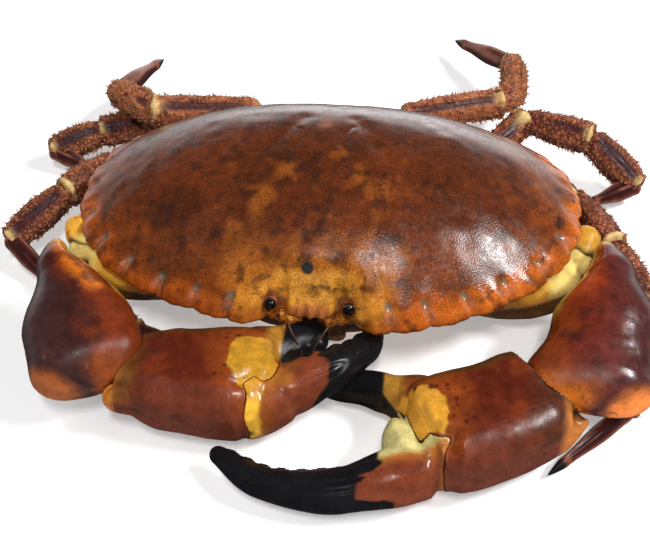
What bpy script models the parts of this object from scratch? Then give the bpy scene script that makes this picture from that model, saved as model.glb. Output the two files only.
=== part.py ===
"""A whole cooked brown crab, resting on its breastplate with both claws folded in front.

Row frame: metres, +Z up. The origin lies on the table under the middle of the shell.
The crab faces -Y. Left and right are the crab's own, so its left side is at +X.
Every hard piece of the crab is one object. Pieces that meet keep a 0.3 mm gap.
"""

import math

import bmesh
import bpy
from mathutils import Vector

MM = 0.001
GAP = 0.3  # clearance between pieces that meet, in mm

# Shell, in mm
SHELL_HALF_WIDTH = 86.0
SHELL_WIDEST_Y = 4.0  # the broadest place, measured from the origin
SHELL_FRONT_REACH = 58.2
SHELL_BACK_REACH = 56.0
SHELL_FRONT_SQUARENESS = 2.2
SHELL_BACK_SQUARENESS = 2.22
RIM_Z_FRONT = 27.5
RIM_Z_SIDE = 33.5
RIM_Z_BACK = 27.0
RIM_THICKNESS = 3.0
DOME_TOP_Z = 58.8
DOME_POWER = 2.35
SHELL_FLOOR_Z = 12.0
LOBE_COUNT = 9  # pie-crust lobes between the eye socket and the broadest place
LOBE_FIRST_DEG = 15.4
LOBE_STEP_DEG = 10.45
LOBE_DEPTH = 1.7
FRONT_RECESS = 8.6
FRONT_RECESS_HALF_WIDTH = 18.0
SOCKET_X = 12.3
SOCKET_HALF_WIDTH = 3.4
SOCKET_DEPTH = 3.6

# Breastplate and tail flap, in mm
BREAST_HALF_WIDTH = 41.0
BREAST_FRONT_Y = -31.0
BREAST_BACK_Y = 44.0
BREAST_TOP_Z = SHELL_FLOOR_Z - GAP
FLAP_HALF_WIDTH = 9.5
FLAP_DEPTH = 2.2

FINE_CAP = 3  # rings that round off each end of a thick limb piece
PLAIN_CAP = 2  # and of a thin one, with up to 8 sides


def smoothstep(low, high, value):
    """0 below low, 1 above high and smooth between them."""
    share = min(1.0, max(0.0, (value - low) / (high - low)))
    return share * share * (3.0 - 2.0 * share)


def through(points, share):
    """A point on the smooth curve through the points, at a share of the way along it."""
    last = len(points) - 1
    place = min(max(share, 0.0), 1.0) * last
    i = min(int(place), last - 1)
    t = place - i
    a, b = points[i], points[i + 1]
    before = points[i - 1] if i > 0 else a - (b - a)
    after = points[i + 2] if i + 2 <= last else b + (b - a)
    return 0.5 * (
        2.0 * a
        + (b - before) * t
        + (2.0 * before - 5.0 * a + 4.0 * b - after) * t * t
        + (3.0 * a - before - 3.0 * b + after) * t * t * t
    )


def station_at(stations, share):
    """Half width, half height and squareness at a share of the length."""
    if share <= stations[0][0]:
        return stations[0][1:]
    for (t0, *first), (t1, *second) in zip(stations, stations[1:]):
        if share <= t1:
            mix = smoothstep(t0, t1, share)
            return tuple(p + (q - p) * mix for p, q in zip(first, second))
    return stations[-1][1:]


def loft(limb, sides, steps, grow=0.0):
    """Vertices and faces of a closed limb piece, rounded at both ends.

    limb holds points (the line it follows), up (towards its upper face), stations
    (share of length, half width, half height, squareness) and caps (length of each
    rounded end). grow makes it larger all round, as a cutter that leaves a gap.
    """
    points = [Vector(p) for p in limb["points"]]
    up = Vector(limb["up"])
    samples = 60
    line = [through(points, i / samples) for i in range(samples + 1)]
    marks = [0.0]
    for p, q in zip(line, line[1:]):
        marks.append(marks[-1] + (q - p).length)
    length = marks[-1]

    def at_length(mark):
        """Centre and direction at a distance along the line, also past its ends."""
        i = 0
        while i < samples - 1 and marks[i + 1] < mark:
            i += 1
        direction = (line[i + 1] - line[i]).normalized()
        return line[i] + direction * (mark - marks[i]), direction

    caps = limb["caps"]
    cap_steps = FINE_CAP if sides > 8 else PLAIN_CAP
    rings = []
    for k in range(1, cap_steps + 1):
        angle = math.pi / 2 * k / cap_steps
        rings.append((-grow + (caps[0] + grow) * (1 - math.cos(angle)), math.sin(angle)))
    for k in range(1, steps):
        rings.append((caps[0] + (length - caps[0] - caps[1]) * k / steps, 1.0))
    for k in range(cap_steps, 0, -1):
        angle = math.pi / 2 * k / cap_steps
        rings.append((length + grow - (caps[1] + grow) * (1 - math.cos(angle)), math.sin(angle)))

    vertices = [at_length(-grow)[0]]
    for mark, scale in rings:
        centre, direction = at_length(mark)
        across = up.cross(direction).normalized()
        upward = direction.cross(across).normalized()
        half_width, half_height, squareness = station_at(limb["stations"], mark / length)
        for j in range(sides):
            angle = 2 * math.pi * j / sides
            c, s = math.cos(angle), math.sin(angle)
            u = math.copysign(abs(c) ** (2 / squareness), c) * (half_width + grow) * scale
            v = math.copysign(abs(s) ** (2 / squareness), s) * (half_height + grow) * scale
            vertices.append(centre + across * u + upward * v)
    vertices.append(at_length(length + grow)[0])

    faces = []
    last_ring = len(rings) - 1
    end = len(vertices) - 1
    for j in range(sides):
        n = (j + 1) % sides
        faces.append((0, 1 + n, 1 + j))
        faces.append((end, 1 + last_ring * sides + j, 1 + last_ring * sides + n))
        for r in range(last_ring):
            a, b = 1 + r * sides, 1 + (r + 1) * sides
            faces.append((a + j, a + n, b + n, b + j))
    return vertices, faces


def material(name, colour, roughness):
    """A plain opaque finish."""
    made = bpy.data.materials.get(name)
    if made is None:
        made = bpy.data.materials.new(name)
        made.use_nodes = True
        shader = made.node_tree.nodes["Principled BSDF"]
        shader.inputs["Base Color"].default_value = (*colour, 1.0)
        shader.inputs["Roughness"].default_value = roughness
        shader.inputs["Metallic"].default_value = 0.0
    return made


FINISHES = {
    "shell": ((0.32, 0.09, 0.025), 0.32),
    "belly": ((0.62, 0.44, 0.22), 0.5),
    "claw": ((0.28, 0.06, 0.02), 0.3),
    "finger": ((0.012, 0.012, 0.014), 0.3),
    "joint": ((0.62, 0.36, 0.07), 0.4),
    "leg": ((0.30, 0.09, 0.035), 0.5),
    "leg_tip": ((0.14, 0.03, 0.025), 0.4),
    "eye": ((0.01, 0.01, 0.01), 0.12),
    "feeler": ((0.25, 0.13, 0.09), 0.5),
}


def add_object(name, vertices, faces, finish):
    """A smooth-shaded object from vertices in mm."""
    mesh = bpy.data.meshes.new(name)
    mesh.from_pydata([v * MM for v in vertices], [], faces)
    made = bpy.data.objects.new(name, mesh)
    bpy.context.scene.collection.objects.link(made)
    bm = bmesh.new()
    bm.from_mesh(mesh)
    bmesh.ops.recalc_face_normals(bm, faces=bm.faces)
    bm.to_mesh(mesh)
    bm.free()
    mesh.shade_smooth()
    mesh.materials.append(material(finish, *FINISHES[finish]))
    return made


def add_limb(name, limb, finish, sides=10, steps=4):
    return add_object(name, *loft(limb, sides, steps), finish)


def helper(name, limb, sides, steps, grow=0.0):
    """A hidden solid that a Boolean reads."""
    made = add_object(name, *loft(limb, sides, steps, grow), "joint")
    made.hide_render = True
    made.display_type = "WIRE"
    return made


def combine(target, other, operation):
    modifier = target.modifiers.new(operation.lower() + "_" + other.name, "BOOLEAN")
    modifier.operation = operation
    modifier.object = other
    modifier.solver = "EXACT"


def seat(target, limb, name, sides=10, steps=4):
    """Cuts a socket in target for the limb piece, with the gap all round."""
    combine(target, helper("cutter_" + name, limb, sides, steps, GAP), "DIFFERENCE")


# Shell

def rim_reach(angle):
    """Distance from the shell's middle to the plain edge, at an angle from straight ahead."""
    s, c = abs(math.sin(angle)), math.cos(angle)
    if c > 0:
        reach, power = SHELL_FRONT_REACH, SHELL_FRONT_SQUARENESS
    else:
        reach, power = SHELL_BACK_REACH, SHELL_BACK_SQUARENESS
    return ((s / SHELL_HALF_WIDTH) ** power + (abs(c) / reach) ** power) ** (-1 / power)


def rim_edge(angle):
    """The real edge: plain edge less the front recess, the eye sockets and the notches."""
    reach = rim_reach(angle)
    side = reach * math.sin(angle)
    if math.cos(angle) > 0:
        reach -= FRONT_RECESS * math.exp(-((side / FRONT_RECESS_HALF_WIDTH) ** 4))
        socket = (abs(side) - SOCKET_X) / SOCKET_HALF_WIDTH
        reach -= SOCKET_DEPTH * math.exp(-(socket ** 4))
    degrees = math.degrees(abs(angle))
    lobe = (degrees - LOBE_FIRST_DEG) / LOBE_STEP_DEG
    if 0 < lobe < LOBE_COUNT:
        reach += LOBE_DEPTH * (math.sqrt(abs(math.sin(math.pi * lobe))) - 1.0)
    return reach


def rim_height(angle):
    """Height of the edge: low at the front, highest at the sides, low at the back."""
    side = math.sin(angle) ** 2
    end = RIM_Z_FRONT if math.cos(angle) > 0 else RIM_Z_BACK
    return end + (RIM_Z_SIDE - end) * side


def dome_z(angle, share):
    """Upper face at a share of the way from the middle to the edge."""
    rim = rim_height(angle)
    return rim + (DOME_TOP_Z - rim) * (1.0 - share ** DOME_POWER)


def underside_z(angle, share):
    """Lower face: a thin rim that sweeps in and down to the breastplate."""
    rim = rim_height(angle) - RIM_THICKNESS
    drop = smoothstep(1.02, 0.46, share)
    return rim + (SHELL_FLOOR_Z - rim) * drop


def shell_angles():
    """Angles round the edge, with four steps to a lobe."""
    front = [LOBE_FIRST_DEG * k / 6 for k in range(6)]
    lobes = [LOBE_FIRST_DEG + LOBE_STEP_DEG * k / 4 for k in range(4 * LOBE_COUNT)]
    start = LOBE_FIRST_DEG + LOBE_STEP_DEG * LOBE_COUNT
    back = [start + (180 - start) * k / 8 for k in range(9)]
    half = front + lobes + back
    return [math.radians(a) for a in half] + [-math.radians(a) for a in reversed(half[1:-1])]


def build_shell():
    """Domed upper shell with its scalloped rim and the sloping underside."""
    angles = shell_angles()
    count = len(angles)
    upper = [0.22, 0.44, 0.63, 0.78, 0.89, 0.96]
    lower = [0.97, 0.86, 0.7, 0.5]
    vertices = [Vector((0, SHELL_WIDEST_Y, DOME_TOP_Z))]

    def ring(share, height):
        for a in angles:
            plain, edge = rim_reach(a), rim_edge(a)
            reach = share * (plain + (edge - plain) * smoothstep(0.7, 1.0, share))
            x, y = reach * math.sin(a), SHELL_WIDEST_Y - reach * math.cos(a)
            vertices.append(Vector((x, y, height(a, share))))

    for share in upper:
        ring(share, dome_z)
    ring(1.0, lambda a, share: rim_height(a) - RIM_THICKNESS * 0.4)
    for share in lower:
        ring(share, underside_z)
    vertices.append(Vector((0, SHELL_WIDEST_Y, SHELL_FLOOR_Z)))

    faces = []
    rings = len(upper) + 1 + len(lower)
    end = len(vertices) - 1
    for j in range(count):
        n = (j + 1) % count
        faces.append((0, 1 + j, 1 + n))
        faces.append((end, 1 + (rings - 1) * count + n, 1 + (rings - 1) * count + j))
        for r in range(rings - 1):
            a, b = 1 + r * count, 1 + (r + 1) * count
            faces.append((a + j, b + j, b + n, a + n))
    return add_object("shell", vertices, faces, "shell")


def build_breastplate():
    """Flat-bottomed breastplate between the legs."""
    middle = (BREAST_FRONT_Y + BREAST_BACK_Y) / 2
    half_length = (BREAST_BACK_Y - BREAST_FRONT_Y) / 2
    profile = [(0.86, 0.0), (0.95, 1.6), (1.0, 5.0), (1.0, 9.0), (0.97, BREAST_TOP_Z)]
    count = 32
    vertices = []
    for scale, z in profile:
        for j in range(count):
            a = 2 * math.pi * j / count
            c, s = math.cos(a), math.sin(a)
            x = math.copysign(abs(s) ** (2 / 2.5), s) * BREAST_HALF_WIDTH * scale
            y = middle - math.copysign(abs(c) ** (2 / 2.5), c) * half_length * scale
            vertices.append(Vector((x, y, z)))
    faces = [tuple(range(count - 1, -1, -1)), tuple(range((len(profile) - 1) * count, len(vertices)))]
    for r in range(len(profile) - 1):
        for j in range(count):
            n = (j + 1) % count
            a, b = r * count, (r + 1) * count
            faces.append((a + j, a + n, b + n, b + j))
    return add_object("breastplate", vertices, faces, "belly")


def flap_outline(grow):
    """Half outline of the narrow tail flap, from its tip at the front to its root."""
    widths = [(-12.0, 2.0), (-6.0, 4.5), (4.0, 6.0), (16.0, 7.6), (28.0, FLAP_HALF_WIDTH), (38.0, 8.6)]
    outline = [(w + grow, y) for y, w in widths]
    outline[0] = (outline[0][0], outline[0][1] - grow)
    outline[-1] = (outline[-1][0], outline[-1][1] + grow)
    return outline


def slab(name, outline, low, high, finish):
    """A flat plate with a mirrored outline."""
    loop = [(x, y) for x, y in outline] + [(-x, y) for x, y in reversed(outline)]
    vertices = [Vector((x, y, low)) for x, y in loop] + [Vector((x, y, high)) for x, y in loop]
    n = len(loop)
    faces = [tuple(range(n)), tuple(range(n, 2 * n))]
    faces += [(i, (i + 1) % n, n + (i + 1) % n, n + i) for i in range(n)]
    return add_object(name, vertices, faces, finish)


def build_flap(breastplate):
    """Tail flap folded into a shallow trough under the breastplate."""
    slab("tail_flap", flap_outline(0.0), 0.0, FLAP_DEPTH, "belly")
    trough = slab("trough", flap_outline(GAP), -FLAP_DEPTH, FLAP_DEPTH + GAP, "belly")
    trough.hide_render = True
    trough.display_type = "WIRE"
    combine(breastplate, trough, "DIFFERENCE")


# Small parts of the face

def straight(start, end, half_width, half_height, caps, up=(0, 0, 1), squareness=2.0):
    """A limb piece of one size from start to end."""
    return {
        "points": [start, end],
        "up": up,
        "caps": caps,
        "stations": [(0.0, half_width, half_height, squareness), (1.0, half_width, half_height, squareness)],
    }


def build_face(shell):
    """Eyes on their stalks, mouth plates and the two feelers."""
    for name, s in (("left", 1), ("right", -1)):
        eye = straight((s * 12.4, -41.2, 27.6), (s * 12.6, -48.4, 30.4), 2.1, 2.1, (2.0, 2.0))
        add_limb(name + "_eye", eye, "eye", sides=10, steps=1)
        seat(shell, eye, name + "_eye", 10, 1)
        plate = straight((s * 5.2, -33.6, 3.4), (s * 5.2, -34.6, 14.4), 4.9, 2.2, (2.0, 2.4), (0, -1, 0), 3.0)
        add_limb(name + "_mouth_plate", plate, "belly", sides=10, steps=2)
        feeler = {
            "points": [
                (s * 7.2, -46.0, 24.4),
                (s * 5.6, -50.6, 24.6),
                (s * 2.6, -53.6, 20.4),
                (s * 1.4, -54.6, 17.0),
            ],
            "up": (1, 0, 0),
            "caps": (0.5, 0.4),
            "stations": [(0.0, 0.55, 0.55, 2.0), (1.0, 0.32, 0.32, 2.0)],
        }
        add_limb(name + "_feeler", feeler, "feeler", sides=6, steps=7)
        seat(shell, feeler, name + "_feeler", 6, 7)


# Claws. Points are in mm and place each piece as it lies. A station is the share of
# the piece's length, half width, half height and squareness.

ARM = [(0.0, 7.0, 7.0, 2.4), (0.5, 8.5, 8.0, 2.4), (1.0, 9.0, 8.0, 2.4)]
ARM_KNOB = [(0.0, 5.5, 5.0, 2.0), (1.0, 5.0, 4.6, 2.0)]
WRIST = [
    (0.0, 5.5, 5.5, 2.2),
    (0.25, 11.5, 9.5, 2.2),
    (0.6, 18.0, 13.0, 2.3),
    (0.85, 17.8, 12.0, 2.3),
    (1.0, 17.0, 10.5, 2.3),
]
PALM = [(0.0, 13.0, 10.5, 2.2), (0.35, 19.5, 13.5, 2.3), (0.8, 20.0, 13.8, 2.3), (1.0, 18.0, 12.8, 2.3)]
KNUCKLE = [(0.0, 4.5, 4.5, 2.0), (1.0, 4.5, 4.5, 2.0)]
THUMB = [
    (0.0, 12.0, 10.0, 2.2),
    (0.25, 9.5, 8.5, 2.1),
    (0.5, 6.6, 6.2, 2.0),
    (0.8, 5.2, 5.2, 2.0),
    (1.0, 3.6, 3.4, 2.0),
]
FINGER = [
    (0.0, 8.0, 9.0, 2.3),
    (0.2, 8.6, 8.6, 2.2),
    (0.42, 6.8, 6.8, 2.1),
    (0.75, 4.9, 4.9, 2.0),
    (1.0, 2.9, 2.9, 2.0),
]
HEEL = [(0.0, 8.0, 6.5, 2.1), (1.0, 6.8, 6.0, 2.1)]

CLAWS = {
    "left": {
        "arm": {
            "points": [(36, -10, 10), (66, -18, 15), (86, -12, 21)],
            "stations": ARM,
            "caps": (4, 5),
        },
        "arm_knob": {
            "points": [(84, -15, 21), (88.5, 2, 29)],
            "stations": ARM_KNOB,
            "caps": (4, 4.5),
        },
        "wrist": {
            "points": [(95, -12, 29), (93, -38, 24), (88, -66, 20)],
            "stations": WRIST,
            "caps": (4, 8),
        },
        "palm": {
            "points": [(84, -60, 16), (62, -73, 15.5), (41, -82, 15)],
            "stations": PALM,
            "caps": (7, 5),
        },
        "knuckle": {
            "points": [(74, -74, 17), (84, -74, 17)],
            "stations": KNUCKLE,
            "caps": (3, 4),
        },
        "thumb": {
            "points": [(46, -72, 14), (35, -66, 12), (26, -62, 10.5), (17, -59, 9), (4, -59, 8)],
            "stations": THUMB,
            "caps": (6, 3),
        },
        "finger": {
            "points": [(46, -88, 12), (29, -96, 12), (12, -101, 10.5), (-8, -99, 9.5), (-25, -88, 8.5)],
            "stations": FINGER,
            "caps": (4, 3),
        },
        "heel": {
            "points": [(42, -87, 15), (29, -85, 16)],
            "stations": HEEL,
            "caps": (3, 4),
        },
    },
    "right": {
        "arm": {
            "points": [(-36, -10, 10), (-62, -21, 15), (-80, -22, 21)],
            "stations": ARM,
            "caps": (4, 5),
        },
        "arm_knob": {
            "points": [(-79, -24, 21), (-86.5, -8, 29)],
            "stations": ARM_KNOB,
            "caps": (4, 4.5),
        },
        "wrist": {
            "points": [(-87, -24, 29), (-75, -51, 24), (-61, -75, 20)],
            "stations": WRIST,
            "caps": (4, 8),
        },
        "palm": {
            "points": [(-62, -64, 16), (-37, -67, 15.5), (-13, -65, 15.5)],
            "stations": PALM,
            "caps": (7, 5),
        },
        "knuckle": {
            "points": [(-51, -76, 17), (-60, -78, 17)],
            "stations": KNUCKLE,
            "caps": (3, 4),
        },
        "thumb": {
            "points": [(-24, -58, 16), (-14, -52.5, 15.5), (-6, -47.5, 15), (2, -43, 14)],
            "stations": THUMB,
            "caps": (6, 3),
        },
        "finger": {
            "points": [(-15, -70, 15), (-1, -68, 18), (10, -62, 20.5), (18, -51, 18), (21, -39, 14)],
            "stations": FINGER,
            "caps": (4, 3),
        },
        "heel": {
            "points": [(-14, -66, 17.5), (-5, -66, 17.5)],
            "stations": HEEL,
            "caps": (3, 4),
        },
    },
}
UP = (0, 0, 1)


def build_claws(holders):
    """Each claw is arm, wrist, palm with its fixed thumb, and movable finger."""
    for side, parts in CLAWS.items():
        for limb in parts.values():
            limb["up"] = UP
        arm = add_limb(side + "_claw_arm", parts["arm"], "joint", 12, 4)
        wrist = add_limb(side + "_claw_wrist", parts["wrist"], "claw", 16, 6)
        palm = add_limb(side + "_claw_palm", parts["palm"], "claw", 16, 5)
        finger = add_limb(side + "_claw_finger", parts["finger"], "finger", 12, 8)
        combine(arm, helper(side + "_arm_knob", parts["arm_knob"], 10, 2), "UNION")
        seat(arm, parts["wrist"], side + "_wrist", 16, 6)
        seat(palm, parts["wrist"], side + "_wrist_front", 16, 6)
        combine(palm, helper(side + "_knuckle", parts["knuckle"], 10, 1), "UNION")
        combine(palm, helper(side + "_thumb", parts["thumb"], 12, 6), "UNION")
        seat(wrist, parts["knuckle"], side + "_knuckle_seat", 10, 1)
        combine(finger, helper(side + "_heel", parts["heel"], 10, 2), "UNION")
        seat(finger, parts["palm"], side + "_palm_front", 16, 5)
        seat(finger, parts["thumb"], side + "_thumb_front", 12, 6)
        for holder in holders:
            seat(holder, parts["arm"], side + "_arm_root_" + holder.name, 12, 4)


# Walking legs, each a row of joints: hip, knee, wrist, ankle and tip.

THIGH = [(0.0, 4.4, 5.0, 2.2), (0.4, 5.0, 6.0, 2.4), (1.0, 5.2, 6.4, 2.4)]
KNEE = [(0.0, 4.0, 4.6, 2.2), (0.6, 5.4, 6.4, 2.4), (1.0, 5.4, 6.6, 2.4)]
SHIN = [(0.0, 4.4, 5.4, 2.2), (0.5, 5.4, 6.6, 2.4), (1.0, 4.6, 5.2, 2.4)]
TOE = [(0.0, 3.4, 3.8, 2.2), (0.35, 3.6, 4.2, 2.2), (0.8, 2.1, 2.5, 2.0), (1.0, 0.7, 0.8, 2.0)]
LEG_PIECES = (("thigh", THIGH, "leg"), ("knee", KNEE, "leg"), ("shin", SHIN, "leg"), ("toe", TOE, "leg_tip"))
FOLDED_SCALE = 0.8  # the first pair lies flat under the claws
JOINT_INSET = 1.5  # how far a piece starts inside the one before it
JOINT_COVER = 2.0  # how far a piece reaches past the joint

LEGS = {
    "left_leg_1": [(36, -1, 8), (103, 2, 6), (114, -20, 6), (101, -57, 5.2), (76, -83, 3)],
    "left_leg_2": [(37, 12, 10), (86, 31, 18), (98, 4, 18.5), (109, -22, 15), (97, -35, 6.5)],
    "left_leg_3": [(33, 27, 10), (68, 72, 22), (93, 63, 21), (111, 52, 9), (92, 44, 4)],
    "left_leg_4": [(20, 66, 25), (59, 80, 24), (65, 92, 23), (63, 116, 19), (39, 149, 9)],
    "right_leg_1": [(-36, -2, 8), (-86, -3, 6.5), (-88, -24, 6), (-60, -39, 6.5), (-38, -45, 3.5)],
    "right_leg_2": [(-37, 12, 10), (-86, 34, 21), (-98, 14, 21), (-116, -2, 11), (-93, -21, 4)],
    "right_leg_3": [(-33, 27, 10), (-80, 69, 14), (-99, 63, 13), (-117, 53, 10), (-98, 48, 4)],
    "right_leg_4": [(-33, 63, 27), (-75, 58, 28), (-83, 64, 28), (-95, 76, 23), (-87, 119, 12)],
}
HIP = [(0.0, 4.8, 4.8, 2.2), (1.0, 5.2, 5.2, 2.2)]
HIPS = {
    "left": [(28, 41, 11), (22, 55, 13), (19, 68, 22)],
    "right": [(-31, 41, 11), (-33, 54, 13), (-31, 65, 22)],
}


def leg_limbs(joints, scale):
    """The four pieces of a leg, each started a little inside the one before."""
    joints = [Vector(p) for p in joints]
    limbs = []
    for (piece, stations, finish), start, end in zip(LEG_PIECES, joints, joints[1:]):
        along = (end - start).normalized()
        if piece != "thigh":
            start = start - along * JOINT_INSET
        if piece != "toe":
            end = end + along * JOINT_COVER
        sizes = [(t, w * scale, h * scale, squareness) for t, w, h, squareness in stations]
        limbs.append((piece, {"points": [start, end], "up": UP, "stations": sizes, "caps": (3, 3)}, finish))
    return limbs


def build_legs(holders):
    for name, joints in LEGS.items():
        limbs = leg_limbs(joints, FOLDED_SCALE if name.endswith("1") else 1.0)
        before = None
        for piece, limb, finish in limbs:
            made = add_limb(name + "_" + piece, limb, finish, 8, 4)
            if before is not None:
                seat(before, limb, name + "_" + piece, 8, 4)
            before = made
        root = limbs[0][1]
        if name.endswith("4"):
            side = name.split("_")[0]
            hip_limb = {"points": HIPS[side], "up": UP, "caps": (3, 3), "stations": HIP}
            hip = add_limb(name + "_hip", hip_limb, "leg", 8, 4)
            seat(hip, root, name + "_thigh_root", 8, 4)
            root = hip_limb
        for holder in holders:
            seat(holder, root, name + "_root_" + holder.name, 8, 4)


def main():
    for obj in list(bpy.data.objects):
        bpy.data.objects.remove(obj, do_unlink=True)
    shell = build_shell()
    breastplate = build_breastplate()
    build_flap(breastplate)
    build_face(shell)
    build_claws((shell, breastplate))
    build_legs((shell, breastplate))


main()
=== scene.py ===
"""Looks of a whole cooked brown crab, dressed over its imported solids.

Lengths are in mm in the row frame until a mesh is made, which is in metres.
The crab faces -Y, and left and right are its own, so its left side is at +X.
"""

import math

import bpy
import numpy as np
from mathutils import Matrix, Vector
from mathutils.bvhtree import BVHTree


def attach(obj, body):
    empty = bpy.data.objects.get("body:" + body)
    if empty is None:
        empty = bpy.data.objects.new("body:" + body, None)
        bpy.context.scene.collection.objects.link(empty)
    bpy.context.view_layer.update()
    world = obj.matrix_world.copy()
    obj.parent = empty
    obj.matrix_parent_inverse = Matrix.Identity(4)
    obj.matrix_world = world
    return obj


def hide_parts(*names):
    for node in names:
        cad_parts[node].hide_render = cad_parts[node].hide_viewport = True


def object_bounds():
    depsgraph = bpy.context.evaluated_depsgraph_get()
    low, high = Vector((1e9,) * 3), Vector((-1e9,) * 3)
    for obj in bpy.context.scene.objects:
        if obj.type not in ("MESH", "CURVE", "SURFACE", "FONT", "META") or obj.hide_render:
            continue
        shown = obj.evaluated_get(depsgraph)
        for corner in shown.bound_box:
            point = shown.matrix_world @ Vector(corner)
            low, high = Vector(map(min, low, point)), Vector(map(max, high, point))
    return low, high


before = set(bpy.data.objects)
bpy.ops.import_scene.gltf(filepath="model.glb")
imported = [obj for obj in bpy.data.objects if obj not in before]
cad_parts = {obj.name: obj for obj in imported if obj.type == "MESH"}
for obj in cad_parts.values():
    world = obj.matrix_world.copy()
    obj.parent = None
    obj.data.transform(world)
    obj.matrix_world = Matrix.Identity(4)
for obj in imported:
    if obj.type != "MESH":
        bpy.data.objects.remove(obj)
cad_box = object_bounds()

MM = 0.001
BOX_LOW, BOX_HIGH = (np.array(corner) / MM for corner in cad_box)
BOX_MARGIN = 0.01
LINE_POINTS = 60  # how finely a curved line is followed
UP = np.array((0.0, 0.0, 1.0))
FRONT_AND_UP = np.array((0.0, -0.71, 0.71))

# Shell shape, as in the solids
SHELL_HALF_WIDTH = 86.0
SHELL_WIDEST_Y = 4.0
SHELL_FRONT = (58.2, 2.2)  # reach and squareness
SHELL_BACK = (56.0, 2.22)
RIM_Z_FRONT = 27.5
RIM_Z_SIDE = 33.5
RIM_Z_BACK = 27.0
RIM_THICKNESS = 3.0
DOME_TOP_Z = 58.8
DOME_POWER = 2.35
SHELL_FLOOR_Z = 12.0
LOBE_COUNT = 9
LOBE_FIRST_DEG = 15.4
LOBE_STEP_DEG = 10.45
LOBE_DEPTH = 1.7
FRONT_RECESS = 8.6
FRONT_RECESS_HALF_WIDTH = 18.0
SOCKET_X = 12.3
SOCKET_HALF_WIDTH = 3.4
SOCKET_DEPTH = 3.6

# Colours, linear
CHOCOLATE = (0.074, 0.016, 0.0042)
DARK_BROWN = (0.036, 0.012, 0.006)
RIM_ORANGE = (0.50, 0.098, 0.009)
STREAK_ORANGE = (0.29, 0.080, 0.010)
OCHRE = (0.70, 0.30, 0.036)
MAROON = (0.042, 0.011, 0.008)
BRICK = (0.15, 0.020, 0.007)
RED_BROWN = (0.145, 0.031, 0.014)
CLAW_ORANGE = (0.30, 0.060, 0.008)
YELLOW = (0.74, 0.37, 0.040)
PALE_YELLOW = (0.68, 0.60, 0.24)
BONE = (0.86, 0.66, 0.20)
OLIVE_BROWN = (0.100, 0.040, 0.008)
# Painted shade for the arm's crack, the partings and where one piece covers another
SEAM_SHADE = (0.028, 0.016, 0.007)
BLACK = (0.008, 0.0075, 0.009)
LEG_BROWN = (0.090, 0.017, 0.012)
LEG_ORANGE = (0.52, 0.17, 0.070)
BAND_PURPLE = (0.034, 0.014, 0.018)
CREAM = (0.74, 0.50, 0.20)
TOE_MAROON = (0.075, 0.015, 0.012)
PINK = (0.55, 0.22, 0.13)
GROOVE_BROWN = (0.30, 0.12, 0.04)
EYE_BLACK = (0.003, 0.003, 0.004)

# Numbers

def smooth(low, high, value):
    """0 below low, 1 above high and smooth between them."""
    share = np.clip((value - low) / (high - low), 0.0, 1.0)
    return share * share * (3.0 - 2.0 * share)


def bell(distance, width):
    return np.exp(-((distance / width) ** 2))


def span(low, start, end, high, value):
    """1 from start to end, and 0 below low and above high."""
    return smooth(low, start, value) * smooth(high, end, value)


def pick(side, left, right):
    return left if side == "left" else right


def unit(vectors):
    return vectors / np.linalg.norm(vectors, axis=-1)[..., None]


def lattice(cell, seed):
    """A repeatable number from -1 to 1 for each whole-number cell."""
    mixed = cell[..., 0] * 73856093 ^ cell[..., 1] * 19349663 ^ cell[..., 2] * 83492791
    mixed = (mixed ^ (seed * 2654435761)) & 0xFFFFFFFF
    mixed = ((mixed ^ (mixed >> 15)) * 2246822519) & 0xFFFFFFFF
    mixed = ((mixed ^ (mixed >> 13)) * 3266489917) & 0xFFFFFFFF
    return ((mixed ^ (mixed >> 16)) & 0xFFFF) / 32767.5 - 1.0


def noise(points, size, seed=0):
    """Smooth noise from -1 to 1 with features of about the given size."""
    place = points / size + 517.3
    cell = np.floor(place).astype(np.int64)
    part = place - cell
    part = part * part * (3.0 - 2.0 * part)
    total = 0.0
    for corner in np.ndindex(2, 2, 2):
        weight = np.prod(np.where(corner, part, 1.0 - part), axis=-1)
        total = total + weight * lattice(cell + corner, seed)
    return total


def clouds(points, size, seed=0):
    """Noise with three levels of detail."""
    return (noise(points, size, seed) + 0.5 * noise(points, size / 2.1, seed + 1)
            + 0.25 * noise(points, size / 4.3, seed + 2)) / 1.4


def pimples(points, size, seed=0):
    """Round bumps from 0 to 1, about one to each cell of the given size."""
    place = points / size + 391.7
    cell = np.floor(place).astype(np.int64)
    nearest = np.full(len(points), 9.0)
    for step in np.ndindex(3, 3, 3):
        near = cell + step - 1
        jitter = np.stack([lattice(near, seed + k) for k in range(3)], -1)
        centre = near + 0.5 + 0.38 * jitter
        nearest = np.minimum(nearest, ((place - centre) ** 2).sum(-1))
    return np.clip(1.0 - nearest / 0.3, 0.0, 1.0)


def running_length(line):
    """Distance along a line to each of its points."""
    return np.concatenate([[0], np.cumsum(np.linalg.norm(np.diff(line, axis=0), axis=1))])


def curve(points, count):
    """Points spread evenly on the smooth curve through the given ones."""
    points = np.asarray(points, float)
    ends = np.vstack([2 * points[0] - points[1], points, 2 * points[-1] - points[-2]])
    fine = []
    for i in range(len(points) - 1):
        before, a, b, after = ends[i:i + 4]
        t = np.linspace(0, 1, 40, endpoint=False)[:, None]
        fine.append(0.5 * (2 * a + (b - before) * t + (2 * before - 5 * a + 4 * b - after) * t * t
                           + (3 * a - before - 3 * b + after) * t ** 3))
    fine = np.vstack(fine + [points[-1:]])
    marks = running_length(fine)
    places = np.linspace(0, marks[-1], count)
    return np.stack([np.interp(places, marks, fine[:, k]) for k in range(3)], -1)


def distance_to(points, place):
    return np.linalg.norm(points - np.array(place), axis=1)


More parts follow.
